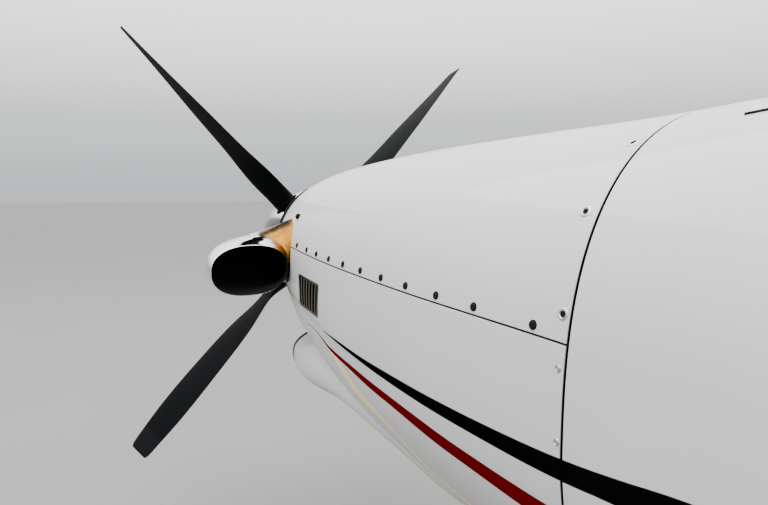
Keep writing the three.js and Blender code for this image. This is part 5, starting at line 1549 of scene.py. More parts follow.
def wing_fittings(aileron_axes):
    """Fuel cap, jack pad, tip lights, pitot mast, aileron pins and static wicks."""
    steel, brass, lens_form, wicks = Form(), Form(), Form(), Form()
    for x, share in ((2700, 0.3), (5200, 0.32)):
        spot, up = wing_point(x, share)
        brass.join(turned_profile([(0, -3), (44, -3), (44, 0.8), (38, 2.2), (34, 1.0), (0, 1.0)], spot, up,
                                  48))
        brass.join(turned_profile([(0, 0), (9, 0), (9, 4), (6, 5.5), (0, 5.5)], spot, up, 6))
        side, _ = frame_along(up)
        brass.join(rod(spot + side * 28 + up * 3, spot - side * 28 + up * 3, 3.2, sides=12))
    pad = (2300, 3500, 0)
    steel.join(turned_profile([(0, 795), (16, 795), (24, 801), (24, 845), (0, 845)], pad, UP, 32))
    for start, end in ((aileron_axes[4] + 0.5, aileron_axes[4] + 33), (-33, -0.5)):
        steel.join(hinge_pin(aileron_axes, start, end, 7, sides=20))
    both_sides("wing_metal", steel, "airframe", "leg_paint", STEEL)
    both_sides("fuel_caps", brass, "airframe", "leg_paint", BRASS)
    st, rise = foil_points(WING, 6470, 0.03, 0, WING_CAMBER)
    tip = wing_place(6470, st, rise)
    lens_form.join(turned_profile([(0, -70), (13, -68), (22, -50), (25, -20), (22, 18), (13, 45), (0, 60)],
                                  tip + (18, 6, 0), (0.35, 0.94, 0), 32))
    piece("tip_light_left", lens_form, "airframe", "window_glass", RED_LENS)
    piece("tip_light_right", lens_form.mirrored(), "airframe", "window_glass", GREEN_LENS)
    for x in (4100, 4900, 5700, 6180):
        st, rise = foil_points(WING, x, 0.995, 0, WING_CAMBER)
        start = wing_place(x, st, rise)
        wicks.join(rod(start, start + (8, 110, 2), 3.4, 1.6, sides=8))
        wicks.join(turned_profile([(0, -26), (5, -24), (6, -4), (3, 2), (0, 2)], start + (0, 4, 0),
                                  AFT, 12))
    both_sides("aileron_wicks", wicks, "aileron_{}_unit", "tyre_rubber", PLASTIC)
    spot, _ = wing_point(4300, 0.22, -1)
    mast = rounded([[-55, 6], [45, 6], [30, -112], [-20, -112]], 10, 4)
    blade = [np.column_stack([np.full(len(mast), dx), mast]) + spot for dx in (-7, 7)]
    pitot = Form().grid(np.stack(blade))
    pitot.join(turned_profile([(3, -120), (5, -121), (8, -60), (11, -20), (11, 55), (6, 62), (2, 62),
                               (2, -100)], spot + (0, -10, -118), AFT, 24, wrap=True))
    piece("pitot_mast", pitot, "airframe", "leg_paint", STEEL)


def tail():
    a = full_turn(160)[None]
    st = np.linspace(AFT_BULKHEAD + 0.3, TAIL_END_ST, 110)[:, None]
    outer = hull_point(st, a)
    turn = np.linspace(0, 1.54, 10)[1:, None, None]
    middle = np.array([0, 0, 1465.0])
    last = outer[-1][None]
    dome = middle + (last - middle) * np.cos(turn)
    dome[..., 1] = TAIL_END_ST + 14 * np.sin(turn[..., 0])
    inner = hull_point(np.linspace(AFT_BULKHEAD + 4, TAIL_END_ST - 60, 60)[:, None], a, 14.0)
    cone = Form().grid(np.concatenate([outer, dome])).join(Form().grid(inner, inside_out=True))
    hole = crossbar(ELEVATOR_MIDDLE, 400, 36, sides=48)
    piece("tail_cone_skin", shade_as_hull(cut(cone, hole)), "airframe", "airframe_paint", STRIPED_AFT,
          "tail_cone")
    axes = hinge_axes(RUDDER["low"], RUDDER["high"])
    full = foil_loft(FIN, fin_place)
    rudder = cut(full, nosed_space(axes, 0, axes[4], RUDDER["nose"]), "INTERSECT")
    bay = nosed_space(axes, -20, axes[4] + END_GAP, [r + NOSE_GAP for r in RUDDER["nose"]])
    piece("fin_skin", cut(full, bay), "airframe", "airframe_paint", FIN_PAINT, "fin")
    piece("rudder_skin", rudder, "rudder_unit", "airframe_paint", FIN_PAINT, "rudder")
    piece("dorsal_fin", dorsal_form(), "airframe", "airframe_paint", PAINT)
    steel = hinge_pin(axes, axes[4] + 0.3, axes[4] + 40, 9)
    steel.join(hinge_pin(axes, -34, -0.5, 22, sides=32))
    steel.join(block(-14, 14, 8030, 8112, 1388, 1412, 3))
    steel.join(turned_profile([(0, 1070), (12, 1070), (20, 1076), (20, 1104), (0, 1104)], (0, 7000, 0),
                              UP, 32))
    piece("tail_metal", steel, "airframe", "leg_paint", STEEL)
    piece("fin_boot", boot_strip(FIN, fin_place, 2120, 3330), "airframe", "tyre_rubber", BOOT)
    both_sides("tailplane_boot", boot_strip(TAILPLANE, tailplane_place, 230, 2130), "airframe",
               "tyre_rubber", BOOT)
    tailplanes()


def dorsal_form():
    """Sections whose half width is half * (1 - share^4)^0.5, with a flare at the foot."""
    st = np.linspace(5950, 7350, 60)[:, None]
    top, half = [follow(DORSAL, column, st) for column in (1, 2)]
    foot = section(st)[1] - 60
    t = np.linspace(0, 1, 30)[None]
    share = np.sin(t * math.pi / 2)
    rise = foot + (top - foot) * share
    wide = half * np.sqrt(np.maximum(1 - share**4, 0)) + 16 * np.exp(-(rise - foot - 52) / 14) * (share < 0.9)
    wide = np.minimum(wide, half * 1.6 + 8)
    left = np.stack(np.broadcast_arrays(wide, st, rise), -1)
    return Form().grid(np.concatenate([left, (left * (-1, 1, 1))[:, -2::-1]], 1))


def tailplanes():
    axes = hinge_axes(ELEVATOR["low"], ELEVATOR["high"])
    nose = ELEVATOR["nose"]
    full = foil_loft(TAILPLANE, tailplane_place)
    bay = nosed_space(axes, -ELEVATOR["low"][0], axes[4] + END_GAP, [r + NOSE_GAP for r in nose])
    tube_hole = crossbar(ELEVATOR_MIDDLE, 225, 27, sides=40)
    fixed = cut(cut(full, bay), tube_hole)
    moving = cut(full, nosed_space(axes, 0, axes[4], nose), "INTERSECT")
    both_sides("tailplane_skin", fixed, "airframe", "airframe_paint", WING_PAINT, "tailplane_{}")
    left = piece("elevator_skin_left", moving, "elevator_unit", "airframe_paint", WING_PAINT, "elevator")
    piece("elevator_skin_right", mirrored_mesh(left.data), "elevator_unit", "airframe_paint", [])
    tube = crossbar(ELEVATOR_MIDDLE, 195, 20, sides=40)
    for side in SIDES.values():
        tube.join(turned_profile([(0, 178), (27, 178), (27, 184.5), (0, 184.5)], ELEVATOR_MIDDLE,
                                 (side, 0, 0)))
    piece("elevator_tube", tube, "elevator_unit", "leg_paint", STEEL)
    pins = both(hinge_pin(axes, axes[4] + 0.5, axes[4] + 33, 7, sides=20))
    piece("elevator_pins", pins, "airframe", "leg_paint", STEEL)
    wicks = Form()
    for x in (900, 1500, 2060):
        st, _ = foil_points(TAILPLANE, x, 0.995, 0)
        start = np.array([x, float(st), TAILPLANE_HEIGHT])
        wicks.join(rod(start, start + (4, 110, 0), 3.4, 1.6, sides=8))
    piece("elevator_wicks", both(wicks), "elevator_unit", "tyre_rubber", PLASTIC)


# Landing gear
MAIN_ST, LEG_X, LEG_TOP, MAIN_WHEEL_X = 3920.0, 1745.0, 812.0, 1875.0
WELL = {"x": 1200.0, "radius": 250.0, "roof": 885.0}
LEG_SLOT = {"inner": 1300.0, "outer": 1807.0, "half": 72.0, "roof": 868.0}
MAIN_TYRE = {"radius": 222.0, "width": 160.0, "rim": 92.0}
NOSE_TYRE = {"radius": 180.0, "width": 126.0, "rim": 76.0}
MAIN_RIM = {"width": 112, "bore": 19.3, "holes": 8}
NOSE_RIM = {"width": 84, "bore": 12.3, "holes": 6}
TRUNNION_HALF = 71.7
TAXI_LAMP = (0, 1424, 606)
NOSE_LEG_ST, NOSE_WHEEL_ST = 1480.0, 1505.0


def tyre_form(centre, radius, width, rim):
    """A smooth profile through bead, sidewall, shoulder and crown, with five grooves 6 mm deep."""
    half = width / 2
    knots = np.array([[0, rim + 0.5, -half * 0.70], [1, rim + 9, -half * 0.80],
                      [2, rim + (radius - rim) * 0.35, -half * 0.97], [3, rim + (radius - rim) * 0.60,
                                                                       -half * 0.99], [4, radius - (radius
                                                                                                    - rim)
                                                                                       * 0.13,
                                                                                       -half * 0.82],
                      [5, radius - (radius - rim) * 0.035, -half * 0.56], [6, radius, 0.0], ])
    at = np.linspace(0, 6, 90)
    left = np.column_stack([follow(knots, 1, at), follow(knots, 2, at)])
    profile = np.concatenate([left, (left * (1, -1))[-2::-1]])
    groove = np.zeros(len(profile))
    for middle in (-0.42, -0.21, 0.0, 0.21, 0.42):
        groove += np.clip(3.2 - np.abs(profile[:, 1] - middle * half * 1.25), 0, 1.4) / 1.4
    profile[:, 0] = np.minimum(profile[:, 0], radius) - 6 * np.clip(groove, 0,
                                                                    1) * (profile[:, 0] > radius * 0.93)
    return turned_profile(profile, centre, ACROSS, 96, wrap=True)


def rim_mesh(centre, tyre, width, bore, holes):
    """A two-piece cast wheel: lipped flanges, a dished web with round holes, tie bolts and a ringed hub."""
    r, h = tyre["rim"], width / 2
    half = np.array([(bore, h * 0.72), (bore + 15, h * 0.76), (bore + 20, h * 0.62), (r * 0.62, h * 0.34),
                     (r * 0.80, h * 0.30), (r * 0.86, h * 0.52), (r * 0.90, h * 0.95), (r * 0.97, h),
                     (r + 7, h * 1.04), (r + 7, h * 0.97), (r - 0.3, h * 0.9)])
    profile = np.concatenate([half * (1, -1), half[::-1]])
    wheel = turned_profile(profile, centre, ACROSS, 96, wrap=True)
    drills = Form()
    for a in full_turn(holes):
        out = np.array([0, math.cos(a), math.sin(a)]) * r * 0.715
        drills.join(crossbar(centre + out, 60, r * 0.085, sides=24))
    return cut(wheel, drills)


def wheel_bolts(centre, tyre, rim):
    form, width, bolts = Form(), rim["width"], rim["holes"]
    for a in full_turn(bolts) + math.pi / bolts:
        out = np.array([0, math.cos(a), math.sin(a)]) * tyre["rim"] * 0.56
        for s in (-1, 1):
            face = s * width / 2 * 0.42
            form.join(turned_profile([(0, -4), (5.2, -4), (5.2, 5), (3, 6), (3, 9), (0, 9)],
                                     np.add(centre, out) + (face, 0, 0), (s, 0, 0), 6))
    valve = np.add(centre, (width / 2 * 0.45, 0, tyre["rim"] * 0.76))
    form.join(rod(valve, valve + (16, 0, -5), 3.2, 2.6, sides=10))
    return form


def main_gear():
    st, x, z = MAIN_ST, LEG_X, MAIN_TYRE["radius"]
    leg = turned_profile([(0, 470), (34, 470), (40, 476), (40, 505), (36, 512), (36, 640), (40, 648),
                          (40, 680), (37, 690), (37, 770), (44, 782), (44, 812), (30, 818), (0, 818)],
                         (x, st, 0), UP, 48)
    for part in (rod((x, st - TRUNNION_HALF, LEG_TOP), (x, st + TRUNNION_HALF, LEG_TOP), 30, sides=36,
                     chamfer=4), rod((x, st, z - 34), (x, st, z + 44), 36, sides=40, chamfer=6),
                 rod((x - 10, st, z), (MAIN_WHEEL_X + 58, st, z), 18.6, sides=32, chamfer=3),
                 rod((x + 30, st, z), (MAIN_WHEEL_X - 46, st, z), 34, 30, sides=40, chamfer=4),
                 block(x - 26, x + 26, st + 20, st + 110, 470, 500, 8),
                 prism([[st + 92, 505], [st + 128, 380], [st + 108, 374], [st + 70, 500]], x - 22, x + 22,
                       7), prism([[st + 128, 392], [st + 118, 352], [st + 20, 226], [st + 20, 268]],
                                 x - 18, x + 18, 7), rod((x - 10, st, 610), (x - 235, st, 800), 17,
                                                         sides=28, chamfer=2), block(x - 262, x - 214,
                                                                                     st - TRUNNION_HALF,
                                                                                     st + TRUNNION_HALF,
                                                                                     786, 816, 5),
                 rod((x, st, 700), (x + 73.5, st, 700), 10), rod((x, st, 520), (x + 73.5, st, 520), 10)):
        leg.join(part)
    both_sides("main_leg_casting", leg, "airframe", "leg_paint", LEG, "main_leg_{}", bevel=1)
    chrome = rod((x, st, z + 40), (x, st, 472), 29, sides=40)
    both_sides("main_leg_piston", chrome, "airframe", "leg_paint", PISTON)
    fittings = Form()
    for spot, reach in (((x, st + 118, 384), 25), ((x, st + 80, 498), 28), ((x, st + 26, 246), 42)):
        fittings.join(crossbar(spot, reach, 7, sides=20))
        fittings.join(turned_profile([(0, reach - 1), (11, reach - 1), (11, reach + 6), (0, reach + 6)],
                                     spot, ACROSS, 6))
    disc = [(44, -4), (84, -4), (84, 4), (44, 4)]
    fittings.join(turned_profile(disc, (MAIN_WHEEL_X - 62, st, z), ACROSS, 64, wrap=True))
    both_sides("main_leg_steel", fittings, "airframe", "leg_paint", STEEL)
    caliper = prism([[st - 96, z - 34], [st - 44, z - 40], [st - 40, z + 40], [st - 96, z + 34]],
                    MAIN_WHEEL_X - 86, MAIN_WHEEL_X - 52, 12)
    line = pipe([(MAIN_WHEEL_X - 70, st - 70, z + 30), (x + 40, st - 52, z + 80), (x + 6, st - 46, 330),
                 (x - 2, st - 44, 470), (x, st - 43, 640), (x, st - 44, 760)], 4, 10, 50)
    for height in (490, 600, 720):
        line.join(turned_profile([(40, -5), (47, -5), (47, 5), (40, 5)], (x, st, height), UP, 40,
                                 wrap=True))
    both_sides("brake_caliper", caliper, "airframe", "engine_metal", CAST, bevel=2)
    both_sides("brake_pipe", line, "airframe", "engine_metal", DARK_STEEL)
    door = [[st - 128, 738], [st + 128, 738], [st + 118, 520], [st + 60, 462], [st - 60, 462],
            [st - 118, 520]]
    both_sides("main_door_skin", prism(door, x + 74, x + 84, 24), "airframe", "airframe_paint", PAINT,
               "main_door_{}", bevel=2)
    stiffener = [[st - 96, 715], [st + 96, 715], [st + 88, 540], [st - 88, 540]]
    both_sides("main_door_rib", prism(stiffener, x + 70.5, x + 74.5, 20), "airframe", "leg_paint", LEG,
               bevel=1)
    for name, side in SIDES.items():
        centre = (side * MAIN_WHEEL_X, st, z)
        body = "main_wheel_" + name
        piece("main_tread_" + name, tyre_form(centre, **MAIN_TYRE), body, "tyre_rubber", TREAD,
              "main_tyre_" + name, angle=50)
        wheel = rim_mesh(centre, MAIN_TYRE, **MAIN_RIM)
        piece("main_casting_" + name, wheel, body, "wheel_paint", WHEEL, "main_rim_" + name)
        piece("main_bolts_" + name, wheel_bolts(centre, MAIN_TYRE, MAIN_RIM), body, "leg_paint", STEEL)
        nut = turned_profile([(0, 42), (30, 42), (30, 52), (24, 57), (0, 59)], centre, (side, 0, 0), 6)
        piece("axle_nut_" + name, nut, "airframe", "leg_paint", STEEL)


def nose_gear():
    st = NOSE_LEG_ST
    leg = turned_profile([(0, 520.3), (32, 520.3), (36, 526), (36, 560), (32, 568), (32, 760), (36, 768),
                          (36, 896), (30, 900), (0, 900)], (0, st, 0), UP, 48)
    leg.join(prism([[st, 834], [FIREWALL - 0.5, 830], [FIREWALL - 0.5, 870], [st, 866]], -60, 60, 4))
    leg.join(rod((0, st, 600), (0, FIREWALL - 40, 840), 14, sides=24))
    for side in (-1, 1):
        leg.join(rod((side * 30, st, 850), (side * 58, FIREWALL - 30, 850), 13, sides=20))
    piece("nose_leg_casting", leg, "airframe", "leg_paint", LEG, "nose_leg", bevel=1)
    lamp = [(0, 30), (30, 26), (42, 8), (45, 0), (45, -4), (40, -5), (38, 0), (0, 0)]
    piece("taxi_lamp_shell", turned_profile(lamp, TAXI_LAMP, AFT, 48), "airframe",
          "engine_metal", CAST)
    glass = turned_profile([(0, -7), (22, -6), (38, -2), (38, 1), (0, 1)], TAXI_LAMP, AFT, 48)
    piece("taxi_lamp_glass", glass, "airframe", "window_glass", CLEAR_LENS)
    piece("nose_piston", rod((0, st, 395), (0, st, 519.7), 25, sides=40), "nose_fork_unit", "leg_paint",
          PISTON)
    axle = NOSE_TYRE["radius"]
    fork = block(-84, 84, st - 34, NOSE_WHEEL_ST + 30, 378, 402, 9)
    for x in (-84, 70):
        fork.join(prism([[st - 22, 395], [NOSE_WHEEL_ST + 26, 395], [NOSE_WHEEL_ST + 24, axle - 22],
                         [NOSE_WHEEL_ST - 24, axle - 22]], x, x + 14, 12))
    fork.join(rod((0, st, 388), (0, st, 430), 33, 28, sides=36, chamfer=4))
    for flat, half in (([[st - 60, 515], [st - 20, 519], [st - 20, 495], [st - 50, 495]], 18),
                       ([[st - 62, 515], [st - 40, 515], [st - 96, 455], [st - 112, 460]], 18),
                       ([[st - 112, 462], [st - 94, 452], [st - 20, 392], [st - 30, 380]], 16)):
        fork.join(prism(flat, -half, half, 5))
    piece("nose_fork_casting", fork, "nose_fork_unit", "leg_paint", LEG, "nose_fork", bevel=1)
    pins = crossbar((0, NOSE_WHEEL_ST, axle), 80, 11.7, sides=28)
    for side in (-1, 1):
        pins.join(turned_profile([(0, 83), (17, 83), (17, 91), (9, 93), (0, 93)], (0, NOSE_WHEEL_ST, axle),
                                 (side, 0, 0), 6))
    pins.join(crossbar((0, st - 104, 458), 24, 6, sides=16))
    piece("nose_axle", pins, "nose_fork_unit", "leg_paint", STEEL)
    centre = (0, NOSE_WHEEL_ST, axle)
    piece("nose_tread", tyre_form(centre, **NOSE_TYRE), "nose_wheel", "tyre_rubber", TREAD, "nose_tyre",
          angle=50)
    piece("nose_casting", rim_mesh(centre, NOSE_TYRE, **NOSE_RIM), "nose_wheel", "wheel_paint", WHEEL,
          "nose_rim")
    piece("nose_bolts", wheel_bolts(centre, NOSE_TYRE, NOSE_RIM), "nose_wheel", "leg_paint", STEEL)
    door = [[1410, 704], [1720, 676], [2180, 640], [2180, 470], [1540, 440], [1410, 500]]
    both_sides("nose_door_skin", prism(door, 96.7, 104.7, 26), "airframe", "airframe_paint", PAINT,
               "nose_door_{}", bevel=2)
    rods = Form()
    for at in (1560, 2060):
        rods.join(rod((70, at, 700), (96.9, at, 560), 6, sides=16))
        rods.join(prism([[at - 22, 530], [at + 22, 530], [at + 16, 575], [at - 16, 575]], 91, 97, 5))
    both_sides("nose_door_links", rods, "airframe", "leg_paint", STEEL)


# Cabin furniture
FLOOR_TOP, PANEL_LOW = 862.0, 1240.0
FRONT_SEAT_ST, AFT_FACING_ST, REAR_SEAT_ST = 2900.0, 4200.0, 4880.0
SEATS = [(285, FRONT_SEAT_ST, 470, 1), (-285, FRONT_SEAT_ST, 470, 1), (280, AFT_FACING_ST, 450, -1),
         (-280, AFT_FACING_ST, 450, -1), (222, REAR_SEAT_ST, 400, 1), (-222, REAR_SEAT_ST, 400, 1)]


def inside_hull(form, st0, st1, inset=48.0):
    stations = np.linspace(st0, st1, max(int((st1 - st0) / 60), 8))
    return cut(form, hull_slug(stations, inset), "INTERSECT")


def panel_spot(x, z, out=0.0):
    """A point on the sloping face of the instrument panel."""
    return np.array([x, 2600 + (z - PANEL_LOW) / 9 + out, z])


def panel_plate(x, z, width, height, out, thick, corner=6.0):
    outline = oblong(x - width / 2, x + width / 2, z - height / 2, z + height / 2)
    flat = rounded(outline, corner, 5)
    rows = [np.array([panel_spot(a, b, o) for a, b in flat]) for o in (out, out + thick)]
    return Form().grid(np.stack(rows))


def flight_deck():
    floor = inside_hull(block(-OUTSIDE, OUTSIDE, 2302, AFT_BULKHEAD - 46, FLOOR_TOP - 30, FLOOR_TOP), 2290,
                        5590)
    piece("floor_carpet", floor, "airframe", "cabin_trim", CARPET, "cabin_floor")
    piece("spar_cover", block(-420, 420, 3150, 3260, 700, 876, 10), "airframe", "cabin_trim", CARPET)
    outline = [[2330, 1640], [2700, 1655], [2700, 1630], [2640, 1600], [2600, 1240], [2520, 1240],
               [2330, 1610]]
    shell = inside_hull(prism(outline, -OUTSIDE, OUTSIDE), 2290, 2760)
    piece("panel_shell", shell, "airframe", "cabin_trim", PANEL, "instrument_panel", bevel=2)
    outline = [[2330, 1642], [2704, 1657], [2712, 1646], [2704, 1634], [2330, 1630]]
    hood = inside_hull(prism(outline, -OUTSIDE, OUTSIDE, 4), 2290, 2760, 46)
    piece("glareshield", hood, "airframe", "cabin_trim", LEATHER_DARK)
    outline = [[2480, 863], [2625, 863], [2632, 1160], [2600, 1300], [2480, 1300]]
    piece("pedestal", prism(outline, -108, 108, 14), "airframe", "cabin_trim", PANEL, bevel=3)
    frames, screens, dials, needles = Form(), Form(), Form(), Form()
    for x in (-330, 0, 330):
        frames.join(panel_plate(x, 1455, 250, 190, -1, 9))
        screens.join(panel_plate(x, 1458, 214, 150, 7.4, 1.4, 3))
    for x, z in ((-330, 1300), (330, 1300), (160, 1395), (160, 1330), (160, 1265), (-165, 1395),
                 (-165, 1330)):
        spot = panel_spot(x, z)
        dials.join(turned_profile([(0, -1), (32, -1), (34, 3), (31, 7), (27, 5), (0, 4)], spot,
                                  (0, 1, -0.11), 36))
        for turn in (0.7, 2.4):
            tip = spot + (22 * math.cos(turn), 6.2, 22 * math.sin(turn))
            needles.join(rod(spot + (0, 6.2, 0), tip, 1.3, 0.5, sides=6))
    for k in range(16):
        spot = panel_spot(-420 + 56 * k, 1252 if k % 2 else 1262)
        needles.join(rod(spot, spot + (0, 16, -2), 3, 2, sides=10))
    piece("screen_bezels", frames, "airframe", "cabin_trim", PLASTIC, bevel=1)
    piece("flight_screens", screens, "airframe", "window_glass", SCREEN)
    piece("dials", dials, "airframe", "cabin_trim", PLASTIC)
    piece("needles_and_switches", needles, "airframe", "cabin_trim", WHEEL)
    levers, knobs = Form(), Form()
    for k, x in enumerate((-50, 0, 50)):
        foot = np.array([x, 2596, 1296])
        levers.join(rod(foot, foot + (0, 40 - 12 * k, 78), 5, sides=14))
        knobs.join(turned_profile([(0, -14), (9, -13), (15, -4), (15, 8), (9, 15), (0, 16)],
                                  foot + (0, 42 - 12 * k, 88), (0, 0.4, 1), 24))
    piece("power_levers", levers, "airframe", "leg_paint", STEEL)
    piece("lever_knobs", knobs, "airframe", "cabin_trim", PLASTIC)
    yokes = Form()
    for x in (-285, 285):
        hub = panel_spot(x, 1330, 150)
        yokes.join(rod(panel_spot(x, 1330), hub, 13, sides=20))
        yokes.join(rod(hub - (0, 16, 0), hub + (0, 20, 0), 34, 28, sides=32, chamfer=5))
        for s in (-1, 1):
            yokes.join(pipe([hub, hub + (s * 60, 4, -14), hub + (s * 118, 6, 12), hub + (s * 132, 2, 80),
                             hub + (s * 118, -2, 120)], 12, 14, 28))
    piece("control_yokes", yokes, "airframe", "cabin_trim", PLASTIC)


def pad(width, depth, height, rows=40, around=64):
    """A crowned cushion: superellipse sides that pull in between corners, its top domed by 18 mm."""
    up = np.linspace(-math.pi / 2, math.pi / 2, rows)[:, None]
    a = full_turn(around)[None]
    level, reach = signed_power(np.sin(up), 0.55), np.abs(np.cos(up)) ** 0.28
    x, y = signed_power(np.cos(a), 0.36), signed_power(np.sin(a), 0.36)
    pull = 1 - 0.035 * (np.sin(2 * a) ** 2 < 0.6) * np.cos(2 * a) ** 2 * (1 - level**2)
    px, py = x * reach * pull * width / 2, y * reach * pull * depth / 2
    dome = 18 * np.maximum(1 - (2 * px / width) ** 2, 0) * np.maximum(1 - (2 * py / depth) ** 2, 0)
    return np.stack(np.broadcast_arrays(px, py, level * height / 2 + np.where(level > 0, dome, 0)), -1)


def plumped(points, name, cap=0.022):
    mesh = Form().grid(points + (0, MID_LENGTH, 0)).mesh(name)
    thing = bpy.data.objects.new(name, mesh)
    scene = bpy.context.scene
    scene.collection.objects.link(thing)
    remesh = thing.modifiers.new("remesh", "REMESH")
    remesh.mode, remesh.voxel_size = "VOXEL", 0.011
    bpy.context.view_layer.update()
    thing.data = bpy.data.meshes.new_from_object(thing.evaluated_get(bpy.context.evaluated_depsgraph_get()))
    thing.modifiers.clear()
    rest = read(thing.data.vertices, "co", 3).astype(float)
    cloth = thing.modifiers.new("cloth", "CLOTH")
    cloth.settings.use_pressure, cloth.settings.uniform_pressure_force = True, 4.0
    cloth.settings.effector_weights.gravity = 0.0
    cloth.point_cache.frame_start, cloth.point_cache.frame_end = 1, 20
    for frame_number in range(1, 21):
        scene.frame_set(frame_number)
    swollen = bpy.data.meshes.new_from_object(thing.evaluated_get(bpy.context.evaluated_depsgraph_get()))
    moved = read(swollen.vertices, "co", 3).astype(float) - rest
    far = np.linalg.norm(moved, axis=1, keepdims=True)
    place = rest + moved * np.minimum(1, cap / np.maximum(far, 1e-9))
    swollen.vertices.foreach_set("co", place.astype(np.float32).ravel())
    swollen.update()
    scene.frame_set(1)
    bpy.data.objects.remove(thing)
    return swollen


def upholstered(name, mesh, matrix, scale, seams):
    """One seat pad: the swollen form scaled, channelled by its seams, turned and set in its place."""
    points = read(mesh.vertices, "co", 3).astype(float) * 1000 * scale
    dip = sum(np.exp(-((points[:, 0] - at) / 5.0) ** 2) for at in seams) if len(seams) else 0
    facing = np.clip(points[:, 2] / (np.abs(points[:, 2]).max()), 0, 1)
    points[:, 2] -= 7 * dip * facing
    placed = points @ matrix[:3, :3].T + matrix[:3, 3]
    copy = mesh.copy()
    copy.vertices.foreach_set("co", ((placed - (0, MID_LENGTH, 0)) * 0.001).astype(np.float32).ravel())
    copy.update()
    thing = piece(name, copy, "airframe", "seat_leather", LEATHER, angle=80, levels=1)
    return thing


def seat_matrix(x, st, facing, lean, at):
    """Leans a pad about the seat's cross axis, sets it at its place in the seat, then turns the seat."""
    c, s = math.cos(lean), math.sin(lean)
    tilt = np.array([[1, 0, 0], [0, c, -s], [0, s, c]])
    turn = np.diag([facing, facing, 1.0])
    matrix = np.eye(4)
    matrix[:3, :3] = turn @ tilt
    matrix[:3, 3] = np.array([x, st, FLOOR_TOP]) + turn @ np.asarray(at, float)
    return matrix


def seats():
    cushion = plumped(pad(420, 430, 84), "cushion")
    rest = plumped(pad(420, 540, 74), "backrest")
    head = Form().grid(pad(200, 140, 48) + (0, MID_LENGTH, 0)).mesh("headrest")
    nodes = ["front_seat_left", "front_seat_right", "club_seats_aft_facing", None,
             "club_seats_forward_facing", None]
    for k, (x, st, width, facing) in enumerate(SEATS):
        name = f"seat_{k + 1}"
        wide = (width - 20) / 446
        seams = np.array([-0.3, -0.1, 0.1, 0.3]) * width
        flat = seat_matrix(x, st, facing, 0.03, (0, 235, 256))
        upholstered(name + "_cushion", cushion, flat, (wide, 1.0, 1.0), seams)
        back = seat_matrix(x, st, facing, math.pi - math.radians(80), (0, 502, 545))
        upholstered(name + "_back", rest, back, (wide, 1.0, 0.92), seams)
        upholstered(name + "_head", head, seat_matrix(x, st, facing, math.pi - math.radians(82),
                                                      (0, 572, 862)), (wide, 1.0, 1.0), [])
        frame_form = seat_frame(width)
        turn = np.diag([facing, facing, 1.0])
        frame_form.points = [points @ turn + (x, st, FLOOR_TOP) for points in frame_form.points]
        piece(name + "_frame", frame_form, "airframe", "cabin_trim", PANEL, nodes[k], bevel=2)
    for name, st, apart, facing in (("aft_facing", AFT_FACING_ST, 280, -1),
                                    ("forward_facing", REAR_SEAT_ST, 222, 1)):
        low, high = (100, 380) if facing > 0 else (-380, -100)
        inner = apart - 232 if facing < 0 else 18
        rest_form = prism([[st + low, 866], [st + high, 866], [st + high, 1258], [st + low, 1250]],
                          -inner + 4, inner - 4, 12)
        piece("armrest_" + name, rest_form, "airframe", "cabin_trim", LEATHER_DARK, bevel=6)


def seat_frame(width):
    """Pedestal box, pan and back shell of one seat, facing forward, with its floor point at the origin."""
    w = width / 2
    form = prism([[60, 2], [380, 2], [370, 205], [70, 205]], -w * 0.5, w * 0.5, 12)
    form.join(prism([[10, 202], [465, 200], [468, 222], [8, 224]], -w + 6, w - 6, 8))
    form.join(prism([[528, 250], [545, 250], [596, 770], [578, 774]], -w + 16, w - 16, 7))
    for s in (-1, 1):
        form.join(rod((s * w * 0.35, 583, 760), (s * w * 0.35, 598, 860), 6, sides=14))
        form.join(prism([[455, 205], [480, 205], [545, 270], [535, 285]], s * (w - 10) - 5,
                        s * (w - 10) + 5, 4))
    return form


BEACON_ST = 5300


